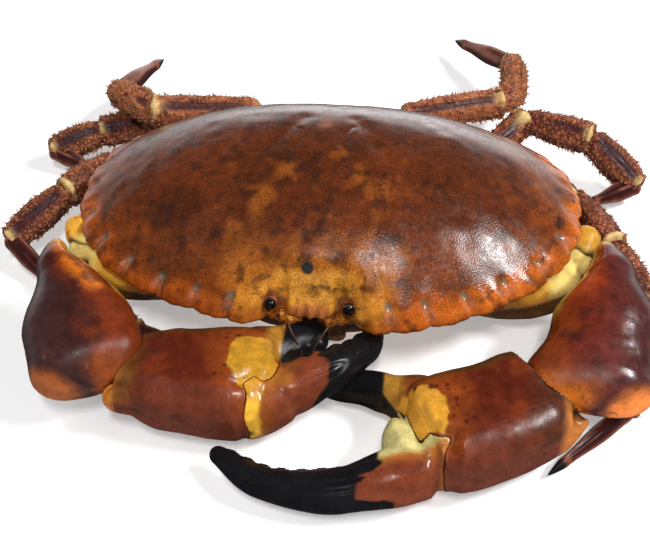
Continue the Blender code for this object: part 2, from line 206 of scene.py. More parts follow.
def line_distance(points, line):
    """Distance from each point to a line of straight pieces."""
    line = np.asarray(line, float)
    best = np.full(len(points), 1e9)
    for a, b in zip(line, line[1:]):
        along = b - a
        share = np.clip((points - a) @ along / (along @ along), 0, 1)
        best = np.minimum(best, np.linalg.norm(points - a - share[:, None] * along, axis=1))
    return best


def inside(points, outline):
    """True for points whose x and y lie within a closed outline."""
    x, y = points[:, 0], points[:, 1]
    result = np.zeros(len(points), bool)
    for (x0, y0), (x1, y1) in zip(outline[:, :2], np.roll(outline[:, :2], -1, axis=0)):
        crosses = (y0 > y) != (y1 > y)
        rise = y1 - y0 if y1 != y0 else 1e-9
        result ^= crosses & (x < x0 + (x1 - x0) * (y - y0) / rise)
    return result


# Meshes as arrays

class Form:
    """A closed mesh in mm, with a colour, gloss and grain at each point."""

    def __init__(self, points, faces):
        self.points = points
        self.faces = faces
        self.paint(RED_BROWN)
        self.gloss = np.full(len(points), 0.5)
        self.grain = np.full(len(points), 0.5)
        self.horn = None

    def paint(self, colour):
        self.colour = np.tile(np.asarray(colour, float), (len(self.points), 1))

    def tint(self, colour, mask):
        """Moves the colours towards a new one by the mask."""
        mask = np.clip(mask, 0, 1)[:, None]
        self.colour = self.colour * (1 - mask) + np.asarray(colour) * mask

    def shade(self, factor):
        self.colour = self.colour * np.asarray(factor)[:, None]

    def normals(self):
        total = np.zeros_like(self.points)
        for size in (3, 4):
            group = self.faces[size]
            if not len(group):
                continue
            corners = self.points[group]
            across = np.cross(corners[:, 2] - corners[:, 0], corners[:, -1] - corners[:, 1])
            for k in range(size):
                np.add.at(total, group[:, k], across)
        return total / np.maximum(np.linalg.norm(total, axis=1), 1e-9)[:, None]

    def swell(self, amount):
        """Moves each point out along its normal, or in where the amount is negative."""
        self.points = self.points + self.normals() * np.asarray(amount)[:, None]

    def face_list(self):
        return [list(map(int, f)) for size in (3, 4) for f in self.faces[size]]

    def tree(self):
        return BVHTree.FromPolygons([Vector(p) for p in self.points], self.face_list())


def grid_faces(rings, sides):
    """Faces of a tube of rings between two end points, which are the first and last points."""
    r, j = np.meshgrid(np.arange(rings - 1), np.arange(sides), indexing="ij")
    n = (j + 1) % sides
    a, b = 1 + r * sides, 1 + (r + 1) * sides
    quads = np.stack([a + j, a + n, b + n, b + j], -1).reshape(-1, 4)
    j = np.arange(sides)
    n = (j + 1) % sides
    last = 1 + (rings - 1) * sides
    end = 1 + rings * sides
    first_fan = np.stack([np.zeros_like(j), 1 + n, 1 + j], -1)
    last_fan = np.stack([np.full_like(j, end), last + j, last + n], -1)
    return {3: np.vstack([first_fan, last_fan]), 4: quads}


def loft(limb, rings, sides, cap_rings=8):
    """A limb piece rounded at both ends, as the solids have it but finer.

    A limb is its middle line, its stations and its rounded lengths at both ends, with the way up if that
    isn't straight up. A station is a share of the length, half width, half height and squareness.
    Returns the form, the share of its length and the angle round it at each point.
    """
    middle_line, stations, caps, *up = limb
    line = curve(middle_line, 90)
    along = unit(np.gradient(line, axis=0))
    marks = running_length(line)
    length = marks[-1]
    turn = np.linspace(0, math.pi / 2, cap_rings + 1)[1:]
    places = np.concatenate([
        caps[0] * (1 - np.cos(turn)),
        np.linspace(caps[0], length - caps[1], rings)[1:-1],
        (length - caps[1] * (1 - np.cos(turn)))[::-1],
    ])
    scale = np.concatenate([np.sin(turn), np.ones(rings - 2), np.sin(turn)[::-1]])
    centre = np.stack([np.interp(places, marks, line[:, k]) for k in range(3)], -1)
    direction = unit(np.stack([np.interp(places, marks, along[:, k]) for k in range(3)], -1))
    across = unit(np.cross(up[0] if up else UP, direction))
    upward = np.cross(direction, across)
    stations = np.array(stations, float)
    share = places / length
    sizes = []
    for column in (1, 2, 3):
        value = np.full(len(share), stations[0, column])
        for first, second in zip(stations, stations[1:]):
            step = smooth(first[0], second[0], share)
            value = value + (second[column] - first[column]) * step
        sizes.append(value[:, None])
    half_width, half_height, squareness = sizes
    angle = np.linspace(0, 2 * math.pi, sides, endpoint=False)[None, :]
    c, s = np.cos(angle), np.sin(angle)
    u = np.sign(c) * np.abs(c) ** (2 / squareness) * half_width * scale[:, None]
    v = np.sign(s) * np.abs(s) ** (2 / squareness) * half_height * scale[:, None]
    body = centre[:, None] + across[:, None] * u[..., None] + upward[:, None] * v[..., None]
    points = np.vstack([line[:1], body.reshape(-1, 3), line[-1:]])
    shares = np.concatenate([[0], np.repeat(share, sides), [1]])
    angles = np.concatenate([[0], np.tile(angle[0], len(share)), [0]])
    return Form(points, grid_faces(len(share), sides)), shares, angles


def read_mesh(made):
    """Points and faces of an object with its modifiers applied, in mm."""
    evaluated = made.evaluated_get(bpy.context.evaluated_depsgraph_get())
    mesh = evaluated.to_mesh()
    points = np.zeros(len(mesh.vertices) * 3)
    mesh.vertices.foreach_get("co", points)
    faces = {3: [], 4: []}
    for polygon in mesh.polygons:
        faces[len(polygon.vertices)].append(tuple(polygon.vertices))
    evaluated.to_mesh_clear()
    faces = {size: np.array(group, int).reshape(-1, size) for size, group in faces.items()}
    return points.reshape(-1, 3) / MM, faces


def placed(name, data):
    """A new object in the scene."""
    made = bpy.data.objects.new(name, data)
    bpy.context.scene.collection.objects.link(made)
    return made


def merged(forms, voxel, rounds):
    """One skin over several overlapping forms, with soft joins."""
    vertices, faces = [], []
    for form in forms:
        base = len(vertices)
        vertices += [tuple(p * MM) for p in form.points]
        faces += [[base + i for i in f] for f in form.face_list()]
    mesh = bpy.data.meshes.new("join")
    mesh.from_pydata(vertices, [], faces)
    made = placed("join", mesh)
    remesh = made.modifiers.new("skin", "REMESH")
    remesh.mode = "VOXEL"
    remesh.voxel_size = voxel * MM
    soften = made.modifiers.new("soften", "SMOOTH")
    soften.factor = 0.5
    soften.iterations = rounds
    result = Form(*read_mesh(made))
    bpy.data.objects.remove(made, do_unlink=True)
    bpy.data.meshes.remove(mesh)
    return result


def carve(form, centres, tree, gap):
    """Draws in the points that another form covers, leaving a gap. Returns where it did."""
    cut = np.zeros(len(form.points))
    for i, (point, centre) in enumerate(zip(form.points, centres)):
        ray = point - centre
        reach = np.linalg.norm(ray)
        if reach < 1e-6:
            continue
        hit = tree.ray_cast(Vector(centre), Vector(ray / reach), reach + gap)[0]
        if hit is None:
            continue
        room = max(0.0, np.linalg.norm(np.array(hit) - centre) - gap)
        if room < reach:
            cut[i] = reach - room
            form.points[i] = centre + ray / reach * room
    return cut


def level(form, other, middle, fan):
    """Brings the skins on both sides of a parting to one height near it."""
    for i, point in enumerate(form.points):
        distance = fan.find_nearest(Vector(point), LEVEL_REACH)[3]
        if distance is None:
            continue
        ray = point - middle
        own = np.linalg.norm(ray)
        if own < LEVEL_LOWEST:
            continue
        ray = Vector(ray / own)
        hit = other.ray_cast(Vector(middle) + ray * PROBE_LENGTH, -ray, PROBE_LENGTH)[3]
        if hit is None or abs(PROBE_LENGTH - hit - own) > LEVEL_LARGEST:
            continue
        step = 0.5 * (PROBE_LENGTH - hit - own) * smooth(LEVEL_REACH, 0.4, distance)
        form.points[i] = point + np.array(ray) * step


def nearest_on(line, form):
    """Which of a line's points is nearest to each point of a form."""
    return ((form.points[:, None] - line[None]) ** 2).sum(-1).argmin(1)


def middle_of(form, limb, low, high):
    """The nearest point of the limb's middle line to each point, kept between two shares."""
    last = LINE_POINTS - 1
    line = curve(limb[0], LINE_POINTS)[int(low * last):int(high * last) + 1]
    return line[nearest_on(line, form)]


def finished(name, form, slot, nodes):
    """Turns a form into a piece that stands for its nodes and rides on the body.

    Its material has the slot's name, but faces that the form marks as horn take the horn material.
    """
    mesh = bpy.data.meshes.new(name)
    points = np.clip(form.points, BOX_LOW + BOX_MARGIN, BOX_HIGH - BOX_MARGIN)
    mesh.from_pydata((points * MM).tolist(), [], form.face_list())
    mesh.shade_smooth()
    nothing = np.zeros(len(points))
    for title, columns in (("tint", (form.colour,)), ("traits", (form.gloss, form.grain, nothing))):
        values = np.clip(np.c_[(*columns, nothing + 1)], 0, 1)
        mesh.attributes.new(title, "FLOAT_COLOR", "POINT").data.foreach_set("color", values.ravel())
    mesh.materials.append(MATERIALS[slot])
    if form.horn is not None:
        mesh.materials.append(MATERIALS["horn"])
        marked = np.concatenate([form.horn[form.faces[size]].mean(1) > 0.5 for size in (3, 4)])
        mesh.polygons.foreach_set("material_index", marked.astype(np.int32))
    piece = placed(name, mesh)
    if nodes:
        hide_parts(*nodes)
    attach(piece, "root")


# Materials

def node(tree, kind, inputs, **settings):
    """A shader node with its settings, and its inputs set or linked."""
    made = tree.nodes.new("ShaderNode" + kind)
    for key, value in settings.items():
        setattr(made, key, value)
    for key, value in inputs.items():
        if isinstance(value, bpy.types.NodeSocket):
            tree.links.new(value, made.inputs[key])
        else:
            made.inputs[key].default_value = value
    return made


def combined(tree, operation, first, *others):
    """The first value taken together with each of the others in turn."""
    for other in others:
        first = node(tree, "Math", {0: first, 1: other}, operation=operation).outputs[0]
    return first


def ranged(tree, value, low, high, new_low, new_high):
    """A value's range from low to high stretched to a new one, and held at its ends."""
    ends = {"Value": value, "From Min": low, "From Max": high, "To Min": new_low, "To Max": new_high}
    return node(tree, "MapRange", ends).outputs[0]


def crust(name, cell, relief, fleck, mottle, rough, coat, shine):
    """Hard skin coloured by its tint, with granules.

    cell is the granules' size, relief their height and mottle the size of paler and darker areas, in mm.
    fleck is their contrast, and rough the roughness where the gloss is 0 and where it is 1.
    """
    made = bpy.data.materials.new(name)
    made.use_nodes = True
    tree = made.node_tree
    shader = tree.nodes["Principled BSDF"]
    place = node(tree, "TexCoord", {}).outputs["Object"]
    tint = node(tree, "Attribute", {}, attribute_name="tint").outputs["Color"]
    traits = node(tree, "Attribute", {}, attribute_name="traits").outputs["Color"]
    split = node(tree, "SeparateColor", {"Color": traits})
    gloss, grain = split.outputs[0], split.outputs[1]

    def clouds_of(size, detail):
        texture = node(tree, "TexNoise", {"Vector": place, "Scale": 1000 / size, "Detail": detail})
        return texture.outputs["Fac"]

    broad = ranged(tree, clouds_of(mottle, 5), 0.3, 0.7, 0.72, 1.28)
    fine = clouds_of(cell * 0.8, 2)
    cells = node(tree, "TexVoronoi", {"Vector": place, "Scale": 1000 / cell}).outputs["Distance"]
    knob = ranged(tree, cells, 0.15, 0.55, 1.0, 0.0)
    light = combined(tree, "MULTIPLY", knob, grain, fleck)
    shade = combined(tree, "MULTIPLY", broad, ranged(tree, fine, 0.3, 0.7, 1 - fleck * 0.5, 1 + fleck * 0.5))
    shade = combined(tree, "ADD", shade, light)
    colour = node(tree, "VectorMath", {0: tint, "Scale": shade}, operation="SCALE").outputs[0]
    tree.links.new(colour, shader.inputs["Base Color"])
    uneven = ranged(tree, clouds_of(cell * 3, 3), 0.3, 0.7, -0.06, 0.08)
    dull = ranged(tree, gloss, 0.0, 1.0, rough[0], rough[1])
    tree.links.new(combined(tree, "ADD", dull, uneven), shader.inputs["Roughness"])
    coarse_bumps = combined(tree, "MULTIPLY", knob, 0.7)
    fine_bumps = combined(tree, "MULTIPLY", fine, 0.6)
    bumps = combined(tree, "MULTIPLY", combined(tree, "ADD", coarse_bumps, fine_bumps), grain)
    waves = combined(tree, "MULTIPLY", clouds_of(cell * 6, 3), 0.8)
    height = combined(tree, "ADD", bumps, waves)
    bump = node(tree, "Bump", {"Height": height, "Strength": 1.0, "Distance": relief * MM})
    tree.links.new(bump.outputs["Normal"], shader.inputs["Normal"])
    shader.inputs["Coat Weight"].default_value = coat
    shader.inputs["Coat Roughness"].default_value = 0.16
    shader.inputs["Specular IOR Level"].default_value = shine
    return made


# Each skin's cell, relief, fleck, mottle, roughness, coat and shine
CRUSTS = {
    "shell": (0.58, 0.030, 0.65, 4.0, (0.34, 0.13), 0.0, 0.46),
    "belly": (0.9, 0.10, 0.2, 6.0, (0.7, 0.45), 0.0, 0.12),
    "claw": (0.8, 0.042, 0.30, 4.0, (0.44, 0.16), 0.0, 0.40),
    "finger": (0.9, 0.035, 0.2, 4.0, (0.44, 0.15), 0.0, 0.40),
    "horn": (1.1, 0.03, 0.1, 5.0, (0.40, 0.24), 0.0, 0.22),
    "joint": (0.9, 0.06, 0.15, 4.0, (0.6, 0.28), 0.0, 0.18),
    "leg": (0.50, 0.14, 0.6, 2.2, (0.55, 0.30), 0.05, 0.26),
    "leg_tip": (0.6, 0.06, 0.25, 3.0, (0.5, 0.26), 0.06, 0.26),
    "eye": (0.5, 0.01, 0.1, 2.0, (0.5, 0.06), 0.3, 0.4),
    "feeler": (0.4, 0.03, 0.2, 2.0, (0.5, 0.2), 0.0, 0.4),
}
MATERIALS = {name: crust(name, *values) for name, values in CRUSTS.items()}


# Shell

LOBE_NOTCHES_DEG = [LOBE_FIRST_DEG + LOBE_STEP_DEG * k for k in range(LOBE_COUNT + 1)]
ROSTRUM_TEETH = ((-4.1, 0.8), (0.0, 1.2), (4.1, 0.8))  # x and reach
SHELL_SIDES = 840
PIT_INSET = 4.6
SCARS = [[(-9.5, 10.0, 0), (-8.4, 4.0, 0), (-10.2, -1.0, 0)],
         [(8.0, 12.5, 0), (6.0, 8.0, 0), (5.4, 1.5, 0), (7.4, -2.5, 0)]]
DARK_SPOT = (-0.9, -40.1, 41.4)
ORANGE_PATCHES = [(-11.5, -10.7, 5), (5.7, -2.9, 4), (11.2, -12, 4.5), (19.8, -18.7, 5), (-17.9, -22.9, 5.5),
                  (-24.1, -34.4, 6), (-2, 12, 4), (27, -36, 7)]  # x, y and size


def rim_reach(angle):
    s, c = np.abs(np.sin(angle)), np.cos(angle)
    front = np.where(c > 0, SHELL_FRONT[0], SHELL_BACK[0])
    power = np.where(c > 0, SHELL_FRONT[1], SHELL_BACK[1])
    return ((s / SHELL_HALF_WIDTH) ** power + (np.abs(c) / front) ** power) ** (-1 / power)


def rim_edge(angle):
    """The real edge, with its recess, eye sockets and crimped lobes."""
    reach = rim_reach(angle)
    side = reach * np.sin(angle)
    front = np.cos(angle) > 0
    reach = reach - np.where(front, FRONT_RECESS * np.exp(-((side / FRONT_RECESS_HALF_WIDTH) ** 4)), 0)
    socket = (np.abs(side) - SOCKET_X) / SOCKET_HALF_WIDTH
    reach = reach - np.where(front, SOCKET_DEPTH * np.exp(-(socket ** 4)), 0)
    degrees = np.degrees(np.abs(angle))
    lobe = (degrees - LOBE_FIRST_DEG) / LOBE_STEP_DEG
    scalloped = (lobe > 0) & (lobe < LOBE_COUNT)
    scallop = LOBE_DEPTH * (np.sqrt(np.abs(np.sin(math.pi * lobe))) - 1.0)
    crimp = 0.22 * np.sin(math.pi * lobe * 5.0) * np.abs(np.sin(math.pi * lobe))
    reach = reach - 1.5 * bell(np.degrees(angle) + 32, 15)
    return reach + np.where(scalloped, scallop + crimp, 0)


def rostrum_reach(angle):
    """How far the three front teeth stand out of the edge."""
    side = rim_reach(angle) * np.sin(angle)
    return sum(np.where(np.cos(angle) > 0, tooth * bell(side - x, 1.1), 0) for x, tooth in ROSTRUM_TEETH)


def rim_height(angle):
    end = np.where(np.cos(angle) > 0, RIM_Z_FRONT, RIM_Z_BACK)
    return end + (RIM_Z_SIDE - end) * np.sin(angle) ** 2


def notch_distance(angle, reach):
    """Distance along the edge to the nearest notch between lobes."""
    degrees = np.degrees(np.abs(angle))
    nearest = np.min(np.abs(degrees[:, None] - np.array(LOBE_NOTCHES_DEG)[None, 1:]), axis=1)
    return np.radians(nearest) * reach


def build_shell():
    """The domed shell with crimped rim, pits, furrows and swellings, and its underside."""
    sides = SHELL_SIDES
    angle = np.linspace(0, 2 * math.pi, sides, endpoint=False)
    angle = np.where(angle > math.pi, angle - 2 * math.pi, angle)
    upper = np.concatenate([np.linspace(0.012, 0.80, 84), np.linspace(0.80, 0.985, 46)[1:]])
    edge = [(0.996, -0.35), (1.0, -1.1), (1.0, -1.9), (0.994, -2.6)]
    lower = np.linspace(0.975, 0.03, 44)
    plain, real, teeth = rim_reach(angle), rim_edge(angle), rostrum_reach(angle)
    rim = rim_height(angle)
    rings, shares = [], []
    lobed = smooth(18, 34, np.degrees(np.abs(angle)))

    def ring(share, height):
        blend = (1 - lobed) * smooth(0.7, 1.0, share) + lobed * smooth(0.88, 1.0, share)
        reach = share * (plain + (real - plain) * blend + teeth * smooth(0.955, 0.99, share))
        rings.append(np.stack([reach * np.sin(angle), SHELL_WIDEST_Y - reach * np.cos(angle), height], -1))
        shares.append(share)

    for share in upper:
        ring(share, rim + (DOME_TOP_Z - rim) * (1 - share ** DOME_POWER))
    for share, drop in edge:
        ring(share, rim + drop)
    for share in lower:
        low = rim - RIM_THICKNESS
        ring(share, low + (SHELL_FLOOR_Z - low) * smooth(1.02, 0.46, share))
    body = np.vstack(rings)
    top = np.array([[0, SHELL_WIDEST_Y, DOME_TOP_Z]])
    floor = np.array([[0, SHELL_WIDEST_Y, SHELL_FLOOR_Z]])
    faces = grid_faces(len(rings), sides)
    faces = {size: group[:, ::-1] for size, group in faces.items()}
    form = Form(np.vstack([top, body, floor]), faces)
    share = np.concatenate([[0], np.repeat(shares, sides), [0]])
    around = np.concatenate([[0], np.tile(angle, len(rings)), [0]])
    top_rings = len(upper) + 2
    on_top = np.repeat([1.0] * top_rings + [0.0] * (len(rings) - top_rings), sides)
    on_top = np.concatenate([[1.0], on_top, [0.0]])
    reach = rim_reach(around)
    inset = (1 - share) * reach
    notch = notch_distance(around, reach)
    shape_shell(form, share, around, inset, notch, on_top)
    paint_shell(form, share, around, inset, notch, on_top)
    finished("shell_skin", form, "shell", ["shell"])


def shape_shell(form, share, around, inset, notch, on_top):
    points = form.points
    degrees = np.degrees(np.abs(around))
    lobes = (degrees > LOBE_FIRST_DEG) * (degrees < LOBE_NOTCHES_DEG[-1] + 3)
    furrow = bell(notch, 1.0) * smooth(6.5, 1.0, inset) * smooth(-0.2, 1.2, inset)
    crown = (1 - bell(notch, 3.2)) * smooth(8.5, 2.0, inset)
    pits = bell(notch, 1.2) * bell(inset - PIT_INSET, 1.25)
    lift = lobes * (0.24 * crown - 0.34 * furrow - 0.65 * pits)
    flat = points * (1, 1, 0)
    lift = lift + 0.35 * clouds(points, 17.0, 3) * smooth(0, 0.3, share) - 0.3
    lift = lift + 0.10 * noise(points, 5.0, 8)
    for scar in SCARS:
        lift = lift - 0.32 * bell(line_distance(flat, scar), 1.1)
    dome = np.hypot(points[:, 0] / 26, (points[:, 1] + 26) / 16)
    lift = lift + 0.3 * smooth(1.3, 0.6, dome) * smooth(0.97, 0.8, share)
    for s in (-1, 1):
        groove = [(s * 9, 18, 0), (s * 17, 2, 0), (s * 30, -12, 0), (s * 44, -20, 0)]
        lift = lift - 0.5 * bell(line_distance(flat, groove), 3.0)
    form.swell(lift * on_top)
    form.points[:, 2] = np.minimum(form.points[:, 2], DOME_TOP_Z)


def paint_shell_ground(form, inset, ragged):
    """Brown that turns to orange towards the rim, and painted light that makes the rim brighter on the crab's
    left side.
    """
    points = form.points
    x, y = points.T[:2]
    form.paint(CHOCOLATE)
    form.tint((0.115, 0.024, 0.0055), smooth(-0.3, 0.4, clouds(points, 14.0, 5)) * 0.9)
    form.tint((0.080, 0.023, 0.011), smooth(-5, 30, y + 8 * ragged) * 0.7)
    form.tint((0.19, 0.042, 0.0065), smooth(22, 9, inset + 9 * ragged) * 0.75)
    form.shade(1 + 0.22 * smooth(9, 16, inset))
    rim = smooth(10.0, 1.5, inset + 6 * ragged) * 0.85
    form.tint(RIM_ORANGE, rim)
    # Painted light: the rim brighter orange on the crab's left side, towards the window lamp
    form.tint((0.62, 0.15, 0.018), rim * smooth(15, 60, x) * 0.85)


def paint_shell_patches(form, ragged, blotchy):
    """Orange streaks and patches on the dome, painted shade at the front of the crab's right side, and the
    ochre patch between the eyes.
    """
    x, y, z = form.points.T
    flat = form.points * (1, 1, 0)
    for s in (-1, 1):
        branch = line_distance(flat, [(s * 5, -36, 0), (s * 16, -35, 0), (s * 24, -43, 0)])
        limb = line_distance(flat, [(s * 17, -36, 0), (s * 20, -26, 0), (s * 14, -16, 0), (s * 9, -8, 0)])
        form.tint(STREAK_ORANGE, smooth(6, 1.0, branch + 4 * ragged) * 0.5)
        form.tint(STREAK_ORANGE, smooth(3.0, 0.0, limb + 4 * ragged + 3 * blotchy) * 0.3)
    for patch_x, patch_y, size in ORANGE_PATCHES:
        away = np.hypot(x - patch_x, (y - patch_y) * 0.8)
        form.tint(STREAK_ORANGE, smooth(size, size * 0.2, away + 0.6 * size * (ragged + blotchy)) * 0.5)
    patch = np.hypot(x / 21, (z - 33.5) / 8.5) + 0.3 * ragged + 0.25 * blotchy
    patch = np.where(y < -20, patch, 9)
    # Painted shade: the dome darker at the front of the crab's right side, away from the window lamp
    form.shade(1 - 0.26 * bell(np.hypot(x + 44, y + 34), 24))
    form.tint((0.42, 0.135, 0.014), smooth(1.65, 0.9, patch) * 0.8)
    form.tint(OCHRE, smooth(1.15, 0.5, patch))


def paint_shell_marks(form, share, around, inset, notch, on_top, blotchy):
    """Small dark and pale marks, the round dark spot, the lobes' pits and the front recess."""
    points = form.points
    x, y = points.T[:2]
    small = clouds(points, 2.6, 45)
    form.tint(DARK_BROWN, smooth(0.18, 0.62, blotchy + 0.3 * small) * 0.6)
    form.tint(DARK_BROWN, smooth(0.34, 0.62, small) * 0.55)
    form.tint((0.20, 0.055, 0.010), smooth(0.4, 0.7, -small) * 0.35)
    spot = distance_to(points, DARK_SPOT)
    form.tint((0.02, 0.02, 0.02), smooth(2.6, 1.6, spot + 0.3 * small) * on_top)
    pits = bell(notch, 1.1) * bell(inset - PIT_INSET, 1.1) * (share > 0.8) * (np.abs(around) > 0.3)
    form.tint((0.16, 0.15, 0.10), pits * 0.9)
    outer = bell(notch - 0.8, 0.9) * bell(inset - PIT_INSET + 2.4, 1.4) * (np.abs(around) > 0.3)
    form.tint(PINK, outer * 0.5)
    edge = smooth(1.2, 0.6, np.hypot(x / 8.5, (y + 46.5) / 2.6)) * on_top
    form.tint((0.34, 0.085, 0.040), edge * 0.75)
    for s in (-1, 1):
        socket = distance_to(points, (s * SOCKET_X, -44.0, 29.5))
        form.tint((0.13, 0.030, 0.022), smooth(5.0, 3.0, socket + 1.2 * blotchy) * on_top * 0.8)


def paint_shell(form, share, around, inset, notch, on_top):
    points = form.points
    y = points[:, 1]
    ragged = clouds(points, 9.0, 21)
    blotchy = clouds(points, 5.0, 33)
    paint_shell_ground(form, inset, ragged)
    paint_shell_patches(form, ragged, blotchy)
    paint_shell_marks(form, share, around, inset, notch, on_top, blotchy)
    under = 1 - on_top
    form.tint((0.40, 0.20, 0.07), under * smooth(0.99, 0.9, share))
    form.tint((0.20, 0.07, 0.03), under * smooth(0.3, 0.8, clouds(points, 6.0, 51)) * 0.5)
    form.gloss = 0.55 + 0.35 * smooth(10, 3, inset) - 0.2 * smooth(0.1, 0.7, blotchy)
    form.grain = on_top * (1.0 - 0.55 * smooth(7, 1, inset)) * (1 - 0.6 * smooth(10, 40, y)) + 0.1
    form.grain = form.grain * (0.75 + 0.35 * clouds(points, 7.0, 61))


# Claws

ARM = [(0.0, 7.0, 7.0, 2.4), (0.5, 8.5, 8.0, 2.4), (1.0, 9.0, 8.0, 2.4)]
ARM_KNOB = [(0.0, 5.5, 5.0, 2.0), (1.0, 5.0, 4.6, 2.0)]
WRIST_RIGHT = [(0.0, 4.0, 5.0, 2.1), (0.22, 10.5, 9.5, 2.15), (0.6, 18.0, 13.0, 2.2), (0.85, 17.8, 12.2, 2.1),
               (1.0, 16.5, 10.5, 2.05)]
WRIST_LEFT = [(0.0, 4.0, 5.0, 2.1), (0.22, 10.5, 10.0, 2.1), (0.5, 17.0, 12.8, 2.0), (0.8, 18.0, 11.4, 2.0),
              (1.0, 16.5, 9.6, 2.0)]
PALM_RIGHT = [(0.0, 11.0, 9.5, 2.2), (0.4, 18.0, 13.2, 2.25), (0.75, 20.0, 13.8, 2.3),
              (1.0, 18.0, 12.8, 2.3)]
PALM_LEFT = [(0.0, 14.0, 9.5, 2.2), (0.35, 19.0, 13.4, 2.25), (0.75, 20.0, 13.8, 2.3),
             (1.0, 18.0, 12.8, 2.3)]
KNUCKLE = [(0.0, 9.0, 8.5, 2.0), (1.0, 4.8, 4.8, 2.0)]
THUMB_LEFT = [(0.0, 12.0, 10.0, 2.2), (0.25, 9.5, 8.5, 2.1), (0.5, 6.6, 6.2, 2.0), (0.8, 5.2, 5.2, 2.0),
              (1.0, 3.6, 3.4, 2.0)]
THUMB_RIGHT = [(0.0, 12.0, 10.0, 2.2), (0.3, 9.5, 8.5, 2.1), (0.6, 7.4, 6.6, 2.0), (1.0, 5.0, 4.6, 2.0)]
FINGER = [(0.0, 8.0, 9.0, 2.3), (0.2, 8.6, 8.6, 2.2), (0.42, 6.8, 6.8, 2.1), (0.75, 4.9, 4.9, 2.0),
          (1.0, 2.9, 2.9, 2.0)]
HEEL_LEFT = [(0.0, 12.0, 9.5, 2.2), (0.6, 10.0, 9.0, 2.1), (1.0, 6.5, 6.0, 2.1)]
HEEL_RIGHT = [(0.0, 11.0, 10.5, 2.2), (1.0, 8.5, 8.5, 2.1)]

CLAWS = {
    "left": {
        "arm": ([(36, -10, 10), (66, -18, 15), (86, -12, 21)], ARM, (4, 5)),
        "arm_knob": ([(84, -15, 21), (88.5, 2, 29)], ARM_KNOB, (4, 4.5)),
        "wrist": ([(91.5, -8.5, 31), (92.5, -38, 24), (87, -70, 19.5)], WRIST_LEFT, (4, 12)),
        "palm": ([(83, -56, 17.5), (62, -72, 16), (36, -84, 14.5)], PALM_LEFT, (7, 6)),
        "knuckle": ([(68, -74, 16), (85, -76, 18)], KNUCKLE, (5, 5)),
        "thumb": ([(46, -72, 14), (35, -66, 12), (26, -62, 10.5), (17, -59, 9), (4, -59, 8)],
                  THUMB_LEFT, (6, 3)),
        "finger": ([(46, -88, 12), (29, -96, 12), (12, -101, 10.5), (-8, -99, 9.5), (-25, -88, 8.5)],
                   FINGER, (4, 3)),
        "heel": ([(46, -86, 14), (37, -84, 14.5), (27, -80, 15)], HEEL_LEFT, (3, 3)),
    },
    "right": {
        "arm": ([(-36, -10, 10), (-62, -21, 15), (-80, -22, 21)], ARM, (4, 5)),
        "arm_knob": ([(-79, -24, 21), (-86.5, -8, 29)], ARM_KNOB, (4, 4.5)),
        "wrist": ([(-86, -22, 30.5), (-75, -51, 24), (-62, -77.5, 20)], WRIST_RIGHT, (4, 12)),
        "palm": ([(-62, -64, 16), (-37, -67, 15.5), (-6, -65.5, 15)], PALM_RIGHT, (7, 6)),
        "knuckle": ([(-44, -73, 16), (-60.5, -79, 17.5)], KNUCKLE, (5, 5)),
        "thumb": ([(-24, -58, 16), (-14, -53.5, 16), (-5, -48.5, 16), (5, -43, 15)], THUMB_RIGHT, (6, 3)),
        "finger": ([(-15, -70, 15), (-1, -68, 18), (10, -62, 20.5), (18, -51, 18), (21, -39, 14)],
                   FINGER, (4, 3)),
        "heel": ([(-18, -74, 14), (-11, -73, 15), (-3, -69, 17)], HEEL_RIGHT, (3, 4)),
    },
}

# Where palm and movable finger part: a middle point and the loop round it
PARTINGS = {
    "left": ((39.5, -84, 12), [
        (29.5, -72, 19), (31.3, -75.5, 20.5), (33.5, -81, 21.5), (36, -87, 22), (38, -89.3, 21.5),
        (40.3, -87.2, 22.5), (42, -88.2, 22.5), (45.6, -88.5, 22.5), (44.3, -93, 20.5), (45.5, -97.5, 14),
        (46.5, -98, 8), (44, -90, 3), (38, -82, 2.5), (32, -75, 4), (29, -71.5, 10)]),
    "right": ((-13, -74, 14), [
        (-8.2, -63, 21), (-7.2, -67, 23.5), (-8.2, -71.5, 24.5), (-11, -73.8, 24.5), (-13.2, -72.8, 25),
        (-15.0, -74.6, 25.5), (-16.0, -76.2, 25.5), (-14.4, -78.2, 23), (-14.4, -81.5, 18.5),
        (-13.8, -85, 13), (-14, -82, 6), (-12, -74, 3), (-10, -66, 5), (-8, -61.5, 12)]),
}
# Rim of the smooth yellow pad on the palm, next to the parting
PADS = {
    "left": [(31, -70, 22), (36.5, -70.5, 25.5), (41.5, -73.5, 27.5), (44.5, -79, 28.5), (45.2, -84.5, 28),
             (44.4, -88.5, 23)],
    "right": [(-9, -58, 22), (-13.5, -57, 24.5), (-19.5, -57.5, 27), (-22.6, -61.5, 28.5), (-22.3, -67, 29),
              (-20.6, -72, 28.5), (-17.2, -76.6, 26)],
}
PARTING_OVERHANG = 6.5  # how far the cutting fan stands past the loop
PARTING_GAP = 0.2
LEVEL_REACH = 4.5  # the two skins are brought to one height within this distance of the parting
LEVEL_LOWEST = 5  # but not nearer to its middle point than this
LEVEL_LARGEST = 9  # nor where their heights differ by more than this
PROBE_LENGTH = 40
# A point inside the finger's base that looks into every corner of the parting
FINGER_ROOTS = {"left": (34, -93, 13), "right": (-4.5, -77.5, 14)}
FINGER_ROOT_REACH = 26
SPOT_COUNT = 22  # dark red spots beside each pad
# The groove between the left palm and its wrist, painted near-black as its shade
HINGE_GAP = [(74, -68.5, 26), (79.5, -72.5, 23), (84.5, -75.5, 20)]
WRIST_GAP_ARM = 0.5
WRIST_GAP_PALM = 0.45
CLAW_VOXEL = 0.5


def parting_tree(side):
    """A fan from the middle point out through the loop, to just past the claw's skin."""
    middle, loop = PARTINGS[side]
    middle = np.array(middle, float)
    loop = curve(loop + loop[:1], 90)
    away = loop - middle
    rim = loop + unit(away) * PARTING_OVERHANG
    vertices = [Vector(middle)] + [Vector(p) for p in rim]
    faces = [(0, i, i + 1) for i in range(1, len(rim))]
    return BVHTree.FromPolygons(vertices, faces)


